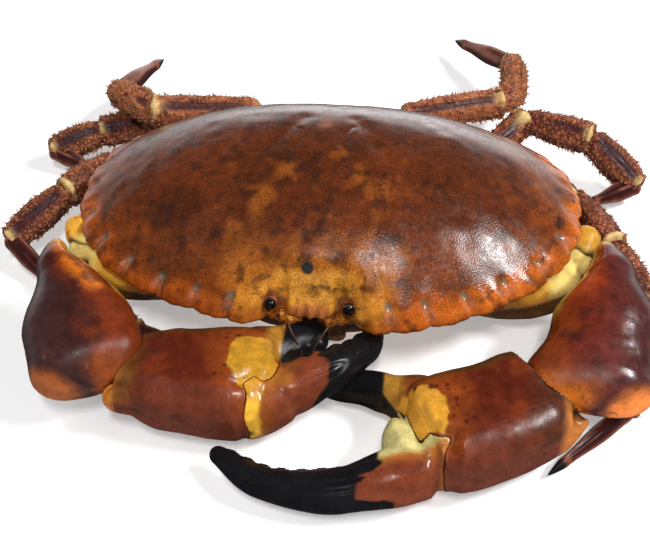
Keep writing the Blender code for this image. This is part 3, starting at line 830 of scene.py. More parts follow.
def crease(form, line, depth, width, colour, strength):
    """A narrow coloured groove along a line."""
    distance = line_distance(form.points, curve(line, LINE_POINTS))
    form.swell(-depth * bell(distance, width))
    form.tint(colour, strength * bell(distance, width * 0.75))


def blots(form, centres, radius, colour, strength, seed):
    """Small ragged spots round the given centres."""
    uneven = 0.35 * noise(form.points, radius * 1.2, seed)
    for centre in centres:
        distance = distance_to(form.points, centre) / radius
        form.tint(colour, strength * smooth(1.25, 0.6, distance + uneven))


def build_claw(side):
    """Arm, wrist, palm with its fixed thumb, and movable finger of one claw."""
    limbs = CLAWS[side]

    def blended(rounds, *parts):
        forms = [loft(limbs[part], rings, sides)[0] for part, rings, sides in parts]
        return merged(forms, CLAW_VOXEL, rounds)

    wrist, share, angle = loft(limbs["wrist"], 110, 150, 12)
    shape_wrist(wrist, side, share, angle)
    wrist_tree = wrist.tree()
    arm = blended(8, ("arm", 40, 48), ("arm_knob", 16, 40))
    cut = carve(arm, middle_of(arm, limbs["arm"], 0.2, 0.8), wrist_tree, WRIST_GAP_ARM)
    dress_arm(arm, side, cut)
    palm = blended(10, ("palm", 60, 80), ("thumb", 50, 56), ("knuckle", 12, 32))
    finger = blended(10, ("finger", 90, 60), ("heel", 20, 48))
    shape_palm(palm, side, limbs)
    shape_finger(finger, side, limbs)
    fan = parting_tree(side)
    middle = np.array(PARTINGS[side][0], float)
    trees = palm.tree(), finger.tree()
    level(palm, trees[1], middle, fan)
    level(finger, trees[0], middle, fan)
    cut = carve(palm, middle_of(palm, limbs["palm"], 0.3, 0.62), wrist_tree, WRIST_GAP_PALM)
    palm_part = carve(palm, middle_of(palm, limbs["palm"], 0.3, 0.62), fan, PARTING_GAP)
    centres = middle_of(finger, limbs["finger"], 0.12, 0.9)
    root = np.array(FINGER_ROOTS[side], float)
    centres[distance_to(finger.points, root) < FINGER_ROOT_REACH] = root
    finger_part = carve(finger, centres, fan, PARTING_GAP)
    if side == "left":
        palm.swell(-2.2 * bell(line_distance(palm.points, HINGE_GAP), 2.4))
    paint_wrist(wrist, side, share, angle)
    paint_palm(palm, side, cut, palm_part)
    paint_finger(finger, side, finger_part)
    for part, form, slot in (("arm", arm, "joint"), ("wrist", wrist, "claw"), ("palm", palm, "claw"),
                             ("finger", finger, "finger")):
        name = side + "_claw_" + part
        finished(name, form, slot, [name])


# The crack across each arm, behind its knob
ARM_SEAMS = {
    "left": [(80, -6.5, 29), (83.5, -8.0, 28.7), (87, -10.4, 27.8), (90.5, -9.4, 28.2), (94, -6, 28)],
    "right": [(-75, -18.5, 27), (-78, -19.6, 27.8), (-82, -20.4, 28), (-88, -18, 27)],
}
# The pale ridge along each arm's upper edge
ARM_RIDGES = {
    "left": [(87.5, -12, 27), (84.5, -21, 25.5), (76, -24.5, 23), (66, -25.5, 19.5), (54, -23, 16.5)],
    "right": [(-79, -22, 28), (-76, -27.5, 25.5), (-71.5, -30.5, 23), (-63, -29.5, 19), (-52, -25.5, 16)],
}


def dress_arm(form, side, cut):
    """The bone-like end of the arm with its knob, a pale ridge and a brown hollow below, the brown partly
    painted shade, and painted light on the right arm's upper face.
    """
    points = form.points
    x, _, z = points.T
    ridge = curve(ARM_RIDGES[side], LINE_POINTS)
    distance = line_distance(points, ridge)
    inward = pick(side, -1, 1)
    down = np.interp(inward * x, inward * ridge[:, 0], ridge[:, 2]) - z
    hollow = bell(down - 6.5, 3.2) * bell(distance, 9)
    form.swell(bell(distance, 2.6) - 1.3 * hollow + 0.15 * noise(points, 4, 3))
    ragged = clouds(points, 5.0, 71)
    # Olive brown below the ridge, partly the arm's own colour and partly painted shade of its lower face
    form.paint(OLIVE_BROWN)
    form.tint((0.17, 0.075, 0.016), smooth(0.0, 0.6, ragged) * 0.7)
    form.tint((0.52, 0.22, 0.025), smooth(4.4, 1.8, distance + 1.2 * ragged))
    above = smooth(2.0, -1.0, down + 0.8 * ragged)
    form.tint(YELLOW, above)
    bone = smooth(72, 77, np.abs(x) + ragged) * smooth(15, 10, distance_to(points, ridge[8]) + 1.5 * ragged)
    form.tint(BONE, bone * smooth(5.0, 2.0, down))
    from_knob = distance_to(points, CLAWS[side]["arm_knob"][0][1])
    form.tint((0.62, 0.30, 0.035), smooth(12.5, 9.5, from_knob + 0.6 * ragged))
    flecks = noise(points, 2.2, 19) + 0.4 * noise(points, 1.0, 20)
    form.tint((0.30, 0.075, 0.014), smooth(0.35, 0.6, flecks) * smooth(11, 8, from_knob) * 0.8)
    # Painted light: the right arm's upper face brightened
    if side == "right":
        form.shade(1 + 0.35 * above)
    crack = line_distance(points * (1, 1, 0), curve(ARM_SEAMS[side], LINE_POINTS) * (1, 1, 0)) + 0.25 * ragged
    crack = np.where(z > 20, crack, 9)
    form.swell(-1.3 * bell(crack, 0.8))
    # Painted shade down the crack, and where the wrist covers the arm
    form.tint(SEAM_SHADE, 0.95 * bell(crack, 0.55))
    form.tint(SEAM_SHADE, smooth(0, 0.8, cut))
    form.gloss = 0.30 + 0.5 * above
    form.grain[:] = 0.35


# The swollen lower corner of each wrist, past a slanting furrow
WRIST_FURROWS = {
    "left": [(104, -56, 24), (101.5, -62.5, 25), (97, -67.5, 24), (92, -72, 21.5), (88, -74.5, 16)],
    "right": [(-84, -66, 23), (-79, -72, 25), (-73.5, -76.5, 25.5), (-68, -79, 24), (-63, -81, 20)],
}


# The bright upper inner edge of the right wrist
RED_BAND = [(-86, -24, 36.5), (-78, -35, 37.0), (-68, -46, 35.5), (-59, -57, 32.5), (-54, -68, 27.0)]


def shape_wrist(form, side, share, angle):
    points = form.points
    furrow = line_distance(points, curve(WRIST_FURROWS[side], LINE_POINTS))
    lift = -1.5 * bell(furrow, 2.0) + 0.25 * clouds(points, 12.0, 83) + 0.06 * noise(points, 2.0, 4) - 0.2
    lobe = bell(distance_to(points, pick(side, (100, -70, 18), (-76, -80, 19))), 8.5)
    lift = lift + 1.6 * lobe
    if side == "left":
        lift = lift + 2.8 * bell(distance_to(points, (78, -62, 22)), 8.0)
    inward = np.cos(angle) * pick(side, -1, 1)
    lift = lift + 0.8 * bell(inward - 0.75, 0.2) * smooth(0.5, 0.7, share)
    form.swell(lift)
    if side == "left":
        form.points[:, 2] -= 1.8 * smooth(-28, -60, form.points[:, 1]) * smooth(10, 25, form.points[:, 2])
    across = np.array(pick(side, (-0.99, 0.1, 0), (0.88, 0.47, 0)))
    slim = -4.0 * bell(share - 0.16, 0.12) * smooth(-0.2, 0.9, inward)
    slim = slim + pick(side, 3.6, 0.8) * smooth(0.62, 0.9, share) * smooth(-0.3, 0.8, inward)
    top = pick(side, -0.5, -2.3) * smooth(0.28, 0.05, share)
    form.points = form.points + across * (slim + top)[:, None]


def paint_wrist(form, side, share, angle):
    points = form.points
    ragged = clouds(points, 9.0, 81)
    speck = clouds(points, 2.4, 87)
    inward = np.cos(angle) * pick(side, -1, 1)
    form.paint(pick(side, (0.135, 0.022, 0.015), MAROON))
    form.tint((0.060, 0.022, 0.022), smooth(0.2, -0.8, inward) * 0.8)
    form.tint(BRICK, smooth(-0.15, 0.5, inward + 0.35 * ragged) * 0.95)
    low = smooth(0.62, 0.9, share)
    form.tint((0.22, 0.038, 0.006), smooth(0.35, 0.9, inward + 0.35 * ragged + 0.35 * low) * 0.9)
    if side == "left":
        form.tint((0.42, 0.058, 0.009), bell(share - 0.26, 0.18) * smooth(0.0, 0.6, inward + 0.35 * ragged))
    else:
        band = line_distance(points, RED_BAND)
        form.tint((0.18, 0.026, 0.005), smooth(10.0, 2.0, band + 3.5 * ragged))
        upper = line_distance(points, RED_BAND[:3])
        form.tint((0.66, 0.16, 0.013), smooth(6.5, 1.5, upper + 2.5 * ragged) * 0.9)
    form.tint(MAROON, smooth(0.2, 0.6, clouds(points, 6.0, 85)) * 0.6)
    tip = smooth(0.86, 0.98, share + 0.04 * ragged) * smooth(-0.4, 0.4, inward)
    form.tint(pick(side, (0.66, 0.17, 0.012), (0.27, 0.058, 0.008)), tip * 0.9)
    lobe = distance_to(points, pick(side, (101, -69, 17), (-76, -80, 18))) + 1.5 * ragged
    form.tint(pick(side, (0.88, 0.25, 0.055), (0.40, 0.10, 0.020)), smooth(11.5, 7.0, lobe) * 0.9)
    furrow = line_distance(points, curve(WRIST_FURROWS[side], LINE_POINTS))
    form.tint((0.06, 0.016, 0.012), bell(furrow, 1.8) * 0.5)
    form.tint(YELLOW, smooth(0.10, 0.04, share + 0.02 * ragged) * smooth(-0.8, 0.2, inward))
    fringe = smooth(0.80, 0.90, inward + 0.06 * ragged) * smooth(0.58, 0.45, share)
    form.tint((0.52, 0.28, 0.04), fringe * 0.95)
    form.tint((0.36, 0.12, 0.10), smooth(0.62, 0.85, speck) * 0.3)
    form.tint(DARK_BROWN, smooth(0.45, 0.75, -speck) * 0.6)
    dull = pick(side, smooth(0.6, 0.8, share) * smooth(-0.6, 0.0, inward), smooth(0.40, 0.62, share))
    form.gloss = 0.8 - 0.6 * dull
    form.grain[:] = 0.3


def share_along(form, limb):
    """The share of a limb's middle line that is nearest to each point of any form."""
    return nearest_on(curve(limb[0], LINE_POINTS), form) / (LINE_POINTS - 1)


def shape_palm(form, side, limbs):
    """A lengthwise edge between the palm's upper and outer faces, and teeth on the thumb."""
    facing = form.normals() @ FRONT_AND_UP
    near_palm = smooth(1.02, 0.9, share_along(form, limbs["palm"]))
    lift = 0.9 * bell(facing - 0.93, 0.10) - 0.7 * bell(facing - 0.62, 0.14) - 0.4
    form.swell(lift * near_palm + 0.25 * clouds(form.points, 9.0, 95))
    share = share_along(form, limbs["thumb"])
    toward = form.normals() @ np.array(pick(side, (0.1, -0.95, 0.1), (0.35, -0.85, 0.2)))
    on_thumb = span(0.42, 0.5, 0.95, 0.99, share)
    knobs = 0.5 + 0.5 * np.cos(share * 2 * math.pi * pick(side, 9, 8))
    form.swell(on_thumb * smooth(0.75, 0.98, toward) * 1.1 * knobs)


def shape_finger(form, side, limbs):
    share = share_along(form, limbs["finger"])
    toward = form.normals() @ np.array(pick(side, (0.15, 0.95, 0.2), (-0.45, 0.75, 0.45)))
    on_tip = span(0.28, 0.38, 0.93, 0.99, share)
    knobs = 0.5 + 0.5 * np.cos(share * 2 * math.pi * pick(side, 12, 9))
    groove = form.normals() @ np.array(pick(side, (0.0, -0.45, 0.89), (0.3, -0.6, 0.75)))
    form.swell(on_tip * (0.8 * smooth(0.8, 0.98, toward) * knobs - 0.35 * bell(groove - 0.97, 0.03)))
    form.swell(0.15 * clouds(form.points, 7.0, 93) - 0.1)


def paint_palm(form, side, cut, part):
    points = form.points
    x, y, z = points.T
    ragged = clouds(points, 8.0, 91)
    speck = clouds(points, 2.6, 97)
    facing = form.normals() @ FRONT_AND_UP
    form.paint(RED_BROWN)
    form.tint((0.10, 0.026, 0.020), smooth(0.1, 0.7, ragged) * 0.5)
    upper = smooth(20, 25, z + 3 * ragged) * smooth(1.0, 0.80, facing + 0.08 * ragged)
    form.tint((0.105, 0.014, 0.005), upper)
    form.tint((0.22, 0.035, 0.007), upper * smooth(0.0, 0.7, clouds(points, 10.0, 99)) * 0.7)
    form.tint(OLIVE_BROWN, smooth(0.62, 0.35, facing) * (z > 16) * 0.7)
    pad = curve(PADS[side], LINE_POINTS)
    outline = np.vstack([pad, curve(PARTINGS[side][1][:8], 40)[::-1]])
    edge = line_distance(points * (1, 1, 0), np.vstack([outline, outline[:1]])[::2] * (1, 1, 0))
    edge = np.where(inside(points, outline), edge, -edge)
    within = smooth(-0.4, 0.4, edge + 0.5 * ragged + 0.8 * clouds(points, 2.4, 98)) * (z > 14)
    around = smooth(-11, -2, edge + 2.5 * ragged) * (z > 12)
    form.tint(CLAW_ORANGE, around * 0.7)
    form.tint(pick(side, (0.74, 0.34, 0.035), (0.56, 0.27, 0.022)), within)
    cells = np.arange(3 * SPOT_COUNT).reshape(SPOT_COUNT, 3)[:, None] + np.arange(3)[:, None] * 77
    spots = [pad[int(28 + 28 * a)] + (pick(side, 1, -1) * (7 * b * b + 1), 2.2 * c, 0.3)
             for a, b, c in lattice(cells, 13)]
    blots(form, spots, 0.9, (0.055, 0.010, 0.006), 0.8, 10)
    # Towards the wrist: on the left claw a dark brown that is painted shade where the wrist overhangs the
    # palm, on the right claw a brown band of the palm's own
    back = pick(side, x - 70, -x - 47)
    rear = smooth(*pick(side, (-6.0, 6.0), (-1.0, 10.0)), back + 2.5 * ragged)
    form.tint(pick(side, (0.075, 0.022, 0.008), (0.20, 0.082, 0.013)), rear * (z > 20) * 0.8)
    form.tint((0.62, 0.20, 0.030), smooth(7.5, 11.5, back + 1.5 * ragged) * (y <= -72) * 0.85)
    if side == "left":
        thumb = smooth(33.5, 29.5, x + 1.5 * ragged)
        black = smooth(25.8, 24.6, x + 0.25 * ragged)
    else:
        thumb = smooth(-13.5, -10.5, x - 1.5 * ragged) * (y > -63)
        black = smooth(-8.2, -7.2, x + 0.2 * ragged) * (y > -62)
    form.tint((0.46, 0.22, 0.030), thumb * 0.9)
    form.tint(BLACK, black)
    form.tint((0.25, 0.06, 0.03), smooth(0.66, 0.85, speck) * (1 - black) * 0.35)
    # Painted shade where the wrist covers the palm
    form.tint((0.06, 0.035, 0.012), smooth(0.3, 1.5, cut))
    # Painted shade: near-black in the groove between the left palm and its wrist
    if side == "left":
        form.tint((0.012, 0.009, 0.005), bell(line_distance(points, HINGE_GAP) + 0.6 * ragged, 2.2))
    # Painted shade along the parting between palm and finger
    form.tint(SEAM_SHADE, smooth(0.1, 0.9, part))
    form.gloss = 0.5 + 0.3 * within
    form.horn = black * (1 - smooth(0.1, 0.9, part))
    form.grain = 0.35 * (1 - 0.7 * black)


def paint_finger(form, side, part):
    points = form.points
    x, y, z = points.T
    ragged = clouds(points, 7.0, 111)
    form.paint((0.20, 0.044, 0.017))
    form.tint((0.27, 0.072, 0.028), smooth(0.1, 0.8, ragged) * 0.5)
    facing = form.normals() @ FRONT_AND_UP
    if side == "left":
        lower = smooth(-0.2, 0.3, -form.normals()[:, 1])
        border = 20.5 + (11 * lower + 5 * (1 - lower)) * smooth(0.97, 0.65, facing) + 0.5 * ragged
        black = smooth(0.7, -0.5, x - border)
        black = black * np.maximum(smooth(-89.0, -90.5, y + 0.5 * ragged), smooth(20, 18, x))
        inner = smooth(-93.5, -90.0, y - 0.25 * (x - 36) + 0.8 * ragged)
        form.tint((0.45, 0.14, 0.02), smooth(-96.5, -92, y - 0.25 * (x - 36) + ragged))
        form.tint(PALE_YELLOW, inner * 0.95)
        form.tint((0.45, 0.17, 0.03), smooth(43.0, 45.5, x + 0.5 * ragged) * 0.5)
    else:
        border = 8.6 - 4.2 * smooth(0.95, 0.4, facing) + 0.5 * ragged
        black = smooth(-0.5, 0.7, x - border)
        form.tint((0.36, 0.10, 0.014), smooth(-5, -10.0, x + 0.8 * ragged) * 0.9)
        strip = smooth(-9.6, -11.6, x + 0.5 * ragged + 1.0 * clouds(points, 2.6, 113))
        form.tint((0.86, 0.46, 0.045), strip * smooth(8, 12, z))
        blots(form, [(-13.8, -78.6, 20.5), (-13.6, -85.0, 13.0)], 1.8, (0.06, 0.035, 0.010), 0.9, 5)
        form.tint((0.46, 0.17, 0.02), smooth(23.2, 25.2, z + 0.8 * ragged) * smooth(0, -5, x) * 0.6)
    form.tint(BLACK, black)
    # Painted shade along the parting between finger and palm
    form.tint(SEAM_SHADE, smooth(0.1, 0.9, part))
    form.gloss[:] = 0.8
    form.horn = black * (1 - smooth(0.1, 0.9, part))
    form.grain = 0.3 * (1 - 0.6 * black)


# Legs

THIGH = [(0.0, 4.4, 5.0, 2.2), (0.4, 5.0, 6.0, 2.4), (1.0, 5.2, 6.4, 2.4)]
KNEE = [(0.0, 4.0, 4.6, 2.2), (0.6, 5.4, 6.4, 2.4), (1.0, 5.4, 6.6, 2.4)]
SHIN = [(0.0, 4.4, 5.4, 2.2), (0.5, 5.4, 6.6, 2.4), (1.0, 4.6, 5.2, 2.4)]
TOE = [(0.0, 3.4, 3.8, 2.2), (0.35, 3.6, 4.2, 2.2), (0.8, 2.1, 2.5, 2.0), (1.0, 0.7, 0.8, 2.0)]
HIP = [(0.0, 4.8, 4.8, 2.2), (1.0, 5.2, 5.2, 2.2)]
LEG_PIECES = (("thigh", THIGH), ("knee", KNEE), ("shin", SHIN), ("toe", TOE))
FOLDED_SCALE = 0.8
JOINT_INSET = 1.5
JOINT_COVER = 2.0
LEGS = {
    "left_leg_1": [(36, -1, 8), (103, 2, 6), (114, -20, 6), (101, -57, 5.2), (76, -83, 3)],
    "left_leg_2": [(37, 12, 10), (86, 31, 18), (98, 4, 18.5), (109, -22, 15), (97, -35, 6.5)],
    "left_leg_3": [(33, 27, 10), (68, 72, 22), (93, 63, 21), (111, 52, 9), (92, 44, 4)],
    "left_leg_4": [(20, 66, 25), (59, 80, 24), (65, 92, 23), (63, 116, 19), (39, 149, 9)],
    "right_leg_1": [(-36, -2, 8), (-86, -3, 6.5), (-88, -24, 6), (-60, -39, 6.5), (-38, -45, 3.5)],
    "right_leg_2": [(-37, 12, 10), (-86, 34, 21), (-98, 14, 21), (-116, -2, 11), (-93, -21, 4)],
    "right_leg_3": [(-33, 27, 10), (-80, 69, 14), (-99, 63, 13), (-117, 53, 10), (-98, 48, 4)],
    "right_leg_4": [(-33, 63, 27), (-75, 58, 28), (-83, 64, 28), (-95, 76, 23), (-87, 119, 12)],
}
BRISTLE_ROWS = (0.12, 0.40, 0.62, 0.80)  # how squarely the skin faces the leg's flat side there
BRISTLE_SHARE = 0.10
BRISTLE_LENGTH = 1.7
BRISTLE_RADIUS = 0.34
BRISTLE_COLOURS = [(0.62, 0.26, 0.10)] * 4 + [(0.02, 0.012, 0.010)]  # root corners and tip
HIPS = {"left": [(28, 41, 11), (22, 55, 13), (19, 68, 22)],
        "right": [(-31, 41, 11), (-33, 54, 13), (-31, 65, 22)]}
LEG_FACE = unit(np.array((0.1, -0.7, 0.7)))  # the flat side of a leg looks this way
LEG_CAPS = (3, 3)


def build_leg(name, joints, tufts):
    """Thigh, knee, shin and toe of one leg, with ridges, granules and a pale joint rim."""
    scale = FOLDED_SCALE if name.endswith("1") else 1.0
    joints = [np.array(p, float) for p in joints]
    for (piece, stations), start, end in zip(LEG_PIECES, joints, joints[1:]):
        along = unit(end - start)
        if piece != "thigh":
            start = start - along * JOINT_INSET
        if piece != "toe":
            end = end + along * JOINT_COVER
        sizes = [(t, w * scale, h * scale, q) for t, w, h, q in stations]
        form, share, _ = loft(([start, end], sizes, LEG_CAPS), 80, 72, 6)
        facing = form.normals() @ LEG_FACE
        full_name = name + "_" + piece
        if piece == "toe":
            dress_toe(form, share, facing, scale)
            finished(full_name, form, "leg_tip", [full_name])
            continue
        dress_leg(form, share, facing, scale, 1.0 if name.endswith("4") else 0.0)
        tufts.append((form, share, facing, along, scale))
        finished(full_name, form, "leg", [full_name])


def dress_leg(form, share, facing, scale, pale):
    points = form.points
    ragged = clouds(points, 4.0, 101)
    flat_face = smooth(0.86, 0.97, np.abs(facing) + 0.03 * ragged)
    body = span(0.10, 0.2, 0.8, 0.9, share)
    ridge = bell(np.abs(facing) - 0.66, 0.13)
    granules = pimples(points, 1.4, 7) * (1 - 0.7 * flat_face * body)
    lift = -0.6 * flat_face * body + 0.4 * ridge * body + 0.45 * granules - 0.45
    rim = bell(share - 0.93, 0.02)
    condyle = bell(share - 0.94, 0.07) * smooth(0.70, 0.92, np.abs(facing))
    lift = lift + 0.35 * rim - 0.5 * bell(share - 0.885, 0.02) + 0.7 * condyle
    form.swell(lift * scale)
    form.paint(LEG_BROWN)
    form.tint((0.050, 0.014, 0.011), smooth(-0.1, 0.5, ragged) * 0.7)
    form.tint((0.46, 0.15, 0.06), pale * smooth(-0.5, 0.2, ragged) * 0.7)
    zone = smooth(-0.35, 0.3, clouds(points, 5.5, 103))
    form.tint(LEG_ORANGE, smooth(0.25, 0.7, granules) * (0.16 + 0.40 * pale + 0.75 * ridge + 0.30 * zone))
    form.tint((0.36, 0.12, 0.06), ridge * body * 0.35)
    form.tint(BAND_PURPLE, flat_face * body * smooth(-0.9, 0.1, ragged) * 0.85)
    form.tint(CREAM, rim * smooth(-0.4, 0.3, ragged) * 0.75)
    form.tint(CREAM, condyle)
    form.tint((0.45, 0.20, 0.07), smooth(0.09, 0.03, share) * 0.6)
    form.grain = 0.4 + 0.5 * (1 - flat_face)
    form.gloss = 0.4 + 0.4 * flat_face


def dress_toe(form, share, facing, scale):
    ribs = np.cos(np.arccos(np.clip(facing, -1, 1)) * 6.0)
    body = span(0.06, 0.2, 0.7, 0.86, share)
    form.swell((0.32 * ribs * body - 0.35 * body) * scale)
    form.paint(TOE_MAROON)
    form.tint(PINK, smooth(0.3, 0.95, ribs) * body * 0.35)
    form.tint((0.025, 0.008, 0.008), smooth(-0.2, -0.9, ribs) * body * 0.8)
    form.tint(LEG_ORANGE, smooth(0.12, 0.04, share) * 0.7)
    form.tint((0.30, 0.08, 0.03), bell(share - 0.79, 0.03) * 0.6)
    form.tint(BLACK, smooth(0.81, 0.86, share))
    form.gloss = 0.6 + 0.3 * smooth(0.8, 0.9, share)
    form.grain = 0.5 * (1 - smooth(0.8, 0.9, share))


def build_bristles(tufts):
    """Short stiff bristles with dark tips, in rows along the edges of the legs."""
    points, faces, colours = [], [], []
    chance = np.random.default_rng(4)
    ring = np.array([(0, 1, 4), (1, 2, 4), (2, 3, 4), (3, 0, 4), (2, 1, 0), (3, 2, 0)])
    for form, share, facing, along, scale in tufts:
        normals = form.normals()
        in_row = np.zeros(len(facing), bool)
        for row in BRISTLE_ROWS:
            in_row |= np.abs(np.abs(facing) - row) < 0.05
        roots = np.flatnonzero(in_row & (share > 0.05) & (share < 0.97))
        roots = chance.choice(roots, int(len(roots) * BRISTLE_SHARE), replace=False)
        for i in roots:
            lean = normals[i] + along * chance.uniform(0.3, 0.9) + chance.normal(0, 0.15, 3)
            lean = unit(lean)
            side = unit(np.cross(lean, (0.3, 0.5, 0.8)))
            over = np.cross(lean, side)
            size = BRISTLE_RADIUS * chance.uniform(0.8, 1.3)
            base = form.points[i] - normals[i] * 0.15
            corners = [base + size * v for v in (side, over, -side, -over)]
            first = len(points)
            points += corners + [base + lean * BRISTLE_LENGTH * scale * chance.uniform(0.6, 1.25)]
            faces.append(ring + first)
            colours += BRISTLE_COLOURS
    form = Form(np.array(points), {3: np.vstack(faces), 4: np.zeros((0, 4), int)})
    form.colour = np.array(colours)
    finished("leg_bristles", form, "leg", [])


def build_hip(side):
    name = side + "_leg_4_hip"
    form, share, _ = loft((HIPS[side], HIP, LEG_CAPS), 60, 56, 6)
    dress_leg(form, share, form.normals() @ LEG_FACE, 1.0, 1.0)
    finished(name, form, "leg", [name])


# Belly and face

FEELERS = [(7.2, -46, 24.4), (5.6, -50.6, 24.6), (2.6, -53.6, 20.4), (1.4, -54.6, 17)]
FEELER_RADII = (0.34, 0.14)
FEELER_KNOBS = [((9.6, -43.5, 23.4), 2.3), ((6.4, -44.8, 23.2), 2.0), ((12.4, -42.6, 23.0), 2.0),
                ((3.6, -44.4, 23.6), 1.5)]  # middles and radii of the joints at its root
EYE = [(12.4, -41.0, 28.0), (12.4, -47.8, 31.2)]
EYE_LOOP = [(8.2, -46.2, 26.4), (9.0, -48.4, 31.0), (12.4, -48.6, 34.4), (16.0, -47.6, 32.4),
            (17.0, -46.0, 29.0)]  # a second thread that arches in front of the left eye
EYE_LOOP_RADII = (0.30, 0.16)
THREAD_CAPS = (0.3, 0.3)
FINE_VOXEL = 0.35


def remade(name, voxel, rounds):
    """A finer copy of a node's own shape."""
    return merged([Form(*read_mesh(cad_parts[name]))], voxel, rounds)


def mirrored(points, side):
    """Points given for the left, on the asked side."""
    return [np.array((pick(side, x, -x), y, z), float) for x, y, z in points]


def round_limb(points, radii, caps):
    first, last = radii
    return points, [(0.0, first, first, 2.0), (1.0, last, last, 2.0)], caps, np.array((1.0, 0.0, 0.0))


def build_feeler(side):
    """Lumpy orange joints under the shell's edge and a fine thread that hangs in front of them."""
    lumps = []
    for centre, radius in FEELER_KNOBS:
        middle = mirrored([centre], side)[0]
        half = np.array((0, 0.9 * radius, 0))
        lump = round_limb([middle + half, middle - half], (radius, radius), (0.85 * radius, 0.85 * radius))
        lumps.append(loft(lump, 6, 28, 6)[0])
    root = merged(lumps, 0.22, 4)
    root.swell(0.22 * pimples(root.points, 0.9, 3))
    low = clouds(root.points, 1.6, 15)
    root.paint((0.50, 0.14, 0.014))
    root.tint((0.050, 0.016, 0.008), smooth(0.05, 0.45, low) * 0.9)
    root.tint((0.72, 0.34, 0.05), smooth(0.3, 0.8, root.normals()[:, 2]) * smooth(-0.1, 0.4, -low) * 0.7)
    root.gloss[:] = 0.9
    forms = [root]
    for line, radii in [(FEELERS, FEELER_RADII)] + pick(side, [(EYE_LOOP, EYE_LOOP_RADII)], []):
        thread = loft(round_limb(mirrored(line, side), radii, THREAD_CAPS), 50, 12, 3)[0]
        thread.paint((0.10, 0.045, 0.030))
        forms.append(thread)
    name = side + "_feeler"
    finished(name, joined(forms), "feeler", [name])


def joined(forms):
    """Several forms as one, without joining their skins."""
    starts = np.cumsum([0] + [len(form.points) for form in forms])
    faces = {}
    for size in (3, 4):
        faces[size] = np.vstack([form.faces[size] + start for form, start in zip(forms, starts)])
    result = Form(np.vstack([form.points for form in forms]), faces)
    result.colour = np.vstack([form.colour for form in forms])
    result.gloss = np.concatenate([form.gloss for form in forms])
    return result


def build_eye(side):
    """A black shining eye on a knobbly stalk."""
    form, share, _ = loft(round_limb(mirrored(EYE, side), (2.0, 2.1), (1.2, 2.0)), 40, 40, 10)
    stalk = smooth(0.66, 0.58, share)
    form.swell(-0.30 * bell(share - 0.62, 0.05) + stalk * 0.18 * pimples(form.points, 0.9, 5) - 0.05)
    form.paint(EYE_BLACK)
    form.tint((0.24, 0.075, 0.016), stalk)
    form.tint((0.10, 0.09, 0.07), bell(share - 0.66, 0.03) * 0.8)
    form.gloss = 1 - stalk * 0.7
    form.grain = 0.6 * stalk
    name = side + "_eye"
    finished(name, form, "eye", [name])


def build_mouth_plate(side):
    name = side + "_mouth_plate"
    form = remade(name, FINE_VOXEL, 4)
    points = form.points
    hairs = noise(points * (1, 1, 0.2), 0.5, 31)
    form.swell(0.14 * hairs - 0.5 * bell(points[:, 2] - 8.6, 0.5) - 0.15)
    form.paint((0.070, 0.028, 0.010))
    form.tint((0.20, 0.095, 0.030), smooth(0.1, 0.7, hairs) * 0.6)
    form.tint((0.24, 0.10, 0.030), bell(points[:, 2] - 6.2, 1.3) * 0.5)
    finished(name, form, "belly", [name])


def build_belly():
    """The jointed breastplate and the tail flap folded flat under it."""
    breast = remade("breastplate", 0.8, 6)
    for k in range(6):
        y = -21.0 + 11.0 * k
        for s in (-1, 1):
            line = [(s * 9, y, 0.2), (s * 24, y + 3.0, 0.6), (s * 36, y + 8.0, 4.0)]
            crease(breast, line, 0.8, 1.0, GROOVE_BROWN, 0.7)
    crease(breast, [(0, -30, 0.4), (0, -22, 0.1), (0, -13, 0.1)], 0.7, 0.9, GROOVE_BROWN, 0.7)
    flap = remade("tail_flap", FINE_VOXEL, 3)
    for k in range(6):
        y = -6.0 + 7.4 * k
        crease(flap, [(-9, y + 1.2, 0.6), (0, y, 0.2), (9, y + 1.2, 0.6)], 0.45, 0.6, (0.30, 0.11, 0.03), 0.8)
    for name, form in (("breastplate", breast), ("tail_flap", flap)):
        ragged = clouds(form.points, 9.0, 121)
        grooves = form.colour
        form.paint((0.66, 0.44, 0.20))
        form.tint((0.55, 0.26, 0.09), smooth(0.0, 0.7, ragged) * 0.6)
        form.tint((0.30, 0.09, 0.03), smooth(0.45, 0.8, clouds(form.points, 3.5, 125)) * 0.6)
        form.tint((0.20, 0.07, 0.02), smooth(3, 9, form.points[:, 2]) * 0.7)
        front = smooth(-18, -27, form.points[:, 1]) * smooth(0.5, 3, form.points[:, 2])
        form.tint((0.050, 0.022, 0.009), front * 0.95)
        form.colour = np.where(np.abs(grooves - RED_BROWN).sum(1, keepdims=True) > 0.03, grooves, form.colour)
        finished(name, form, "belly", [name])


# Stage, light and camera

CAMERA_PLACE = (43.02, -296.24, 280.34)
CAMERA_RIGHT = (0.99209501, 0.12224469, -0.02835021)
CAMERA_UP = (-0.06286654, 0.67968617, 0.73080401)
CAMERA_BACK = (0.10860615, -0.72324473, 0.68199836)
CAMERA_LENS = 62.97
SENSOR_WIDTH = 36.0
CLIP_NEAR_AND_FAR = (0.01, 20.0)
FLOOR_HALF = 2.5
LAMP_AIM = (0, -20, 30)
# Azimuth from straight ahead of the crab, elevation, distance, size, power and whether it shows in gloss
LAMPS = {
    "window": (84, 49, 1.3, (0.42, 0.12), 12.5, True),
    "front": (12, 58, 1.3, (0.12, 0.26), 3, True),
    "fill": (12, 58, 1.3, (0.12, 0.26), 4, False),
    "left": (-75, 50, 1.4, (0.60, 0.60), 3.2, False),
}


def make_camera():
    data = bpy.data.cameras.new("view")
    data.lens = CAMERA_LENS
    data.sensor_width = SENSOR_WIDTH
    data.clip_start, data.clip_end = CLIP_NEAR_AND_FAR
    made = placed("view", data)
    matrix = np.eye(4)
    matrix[:3, :3] = np.array([CAMERA_RIGHT, CAMERA_UP, CAMERA_BACK]).T
    matrix[:3, 3] = np.array(CAMERA_PLACE) * MM
    made.matrix_world = Matrix(matrix.tolist())
    bpy.context.scene.camera = made


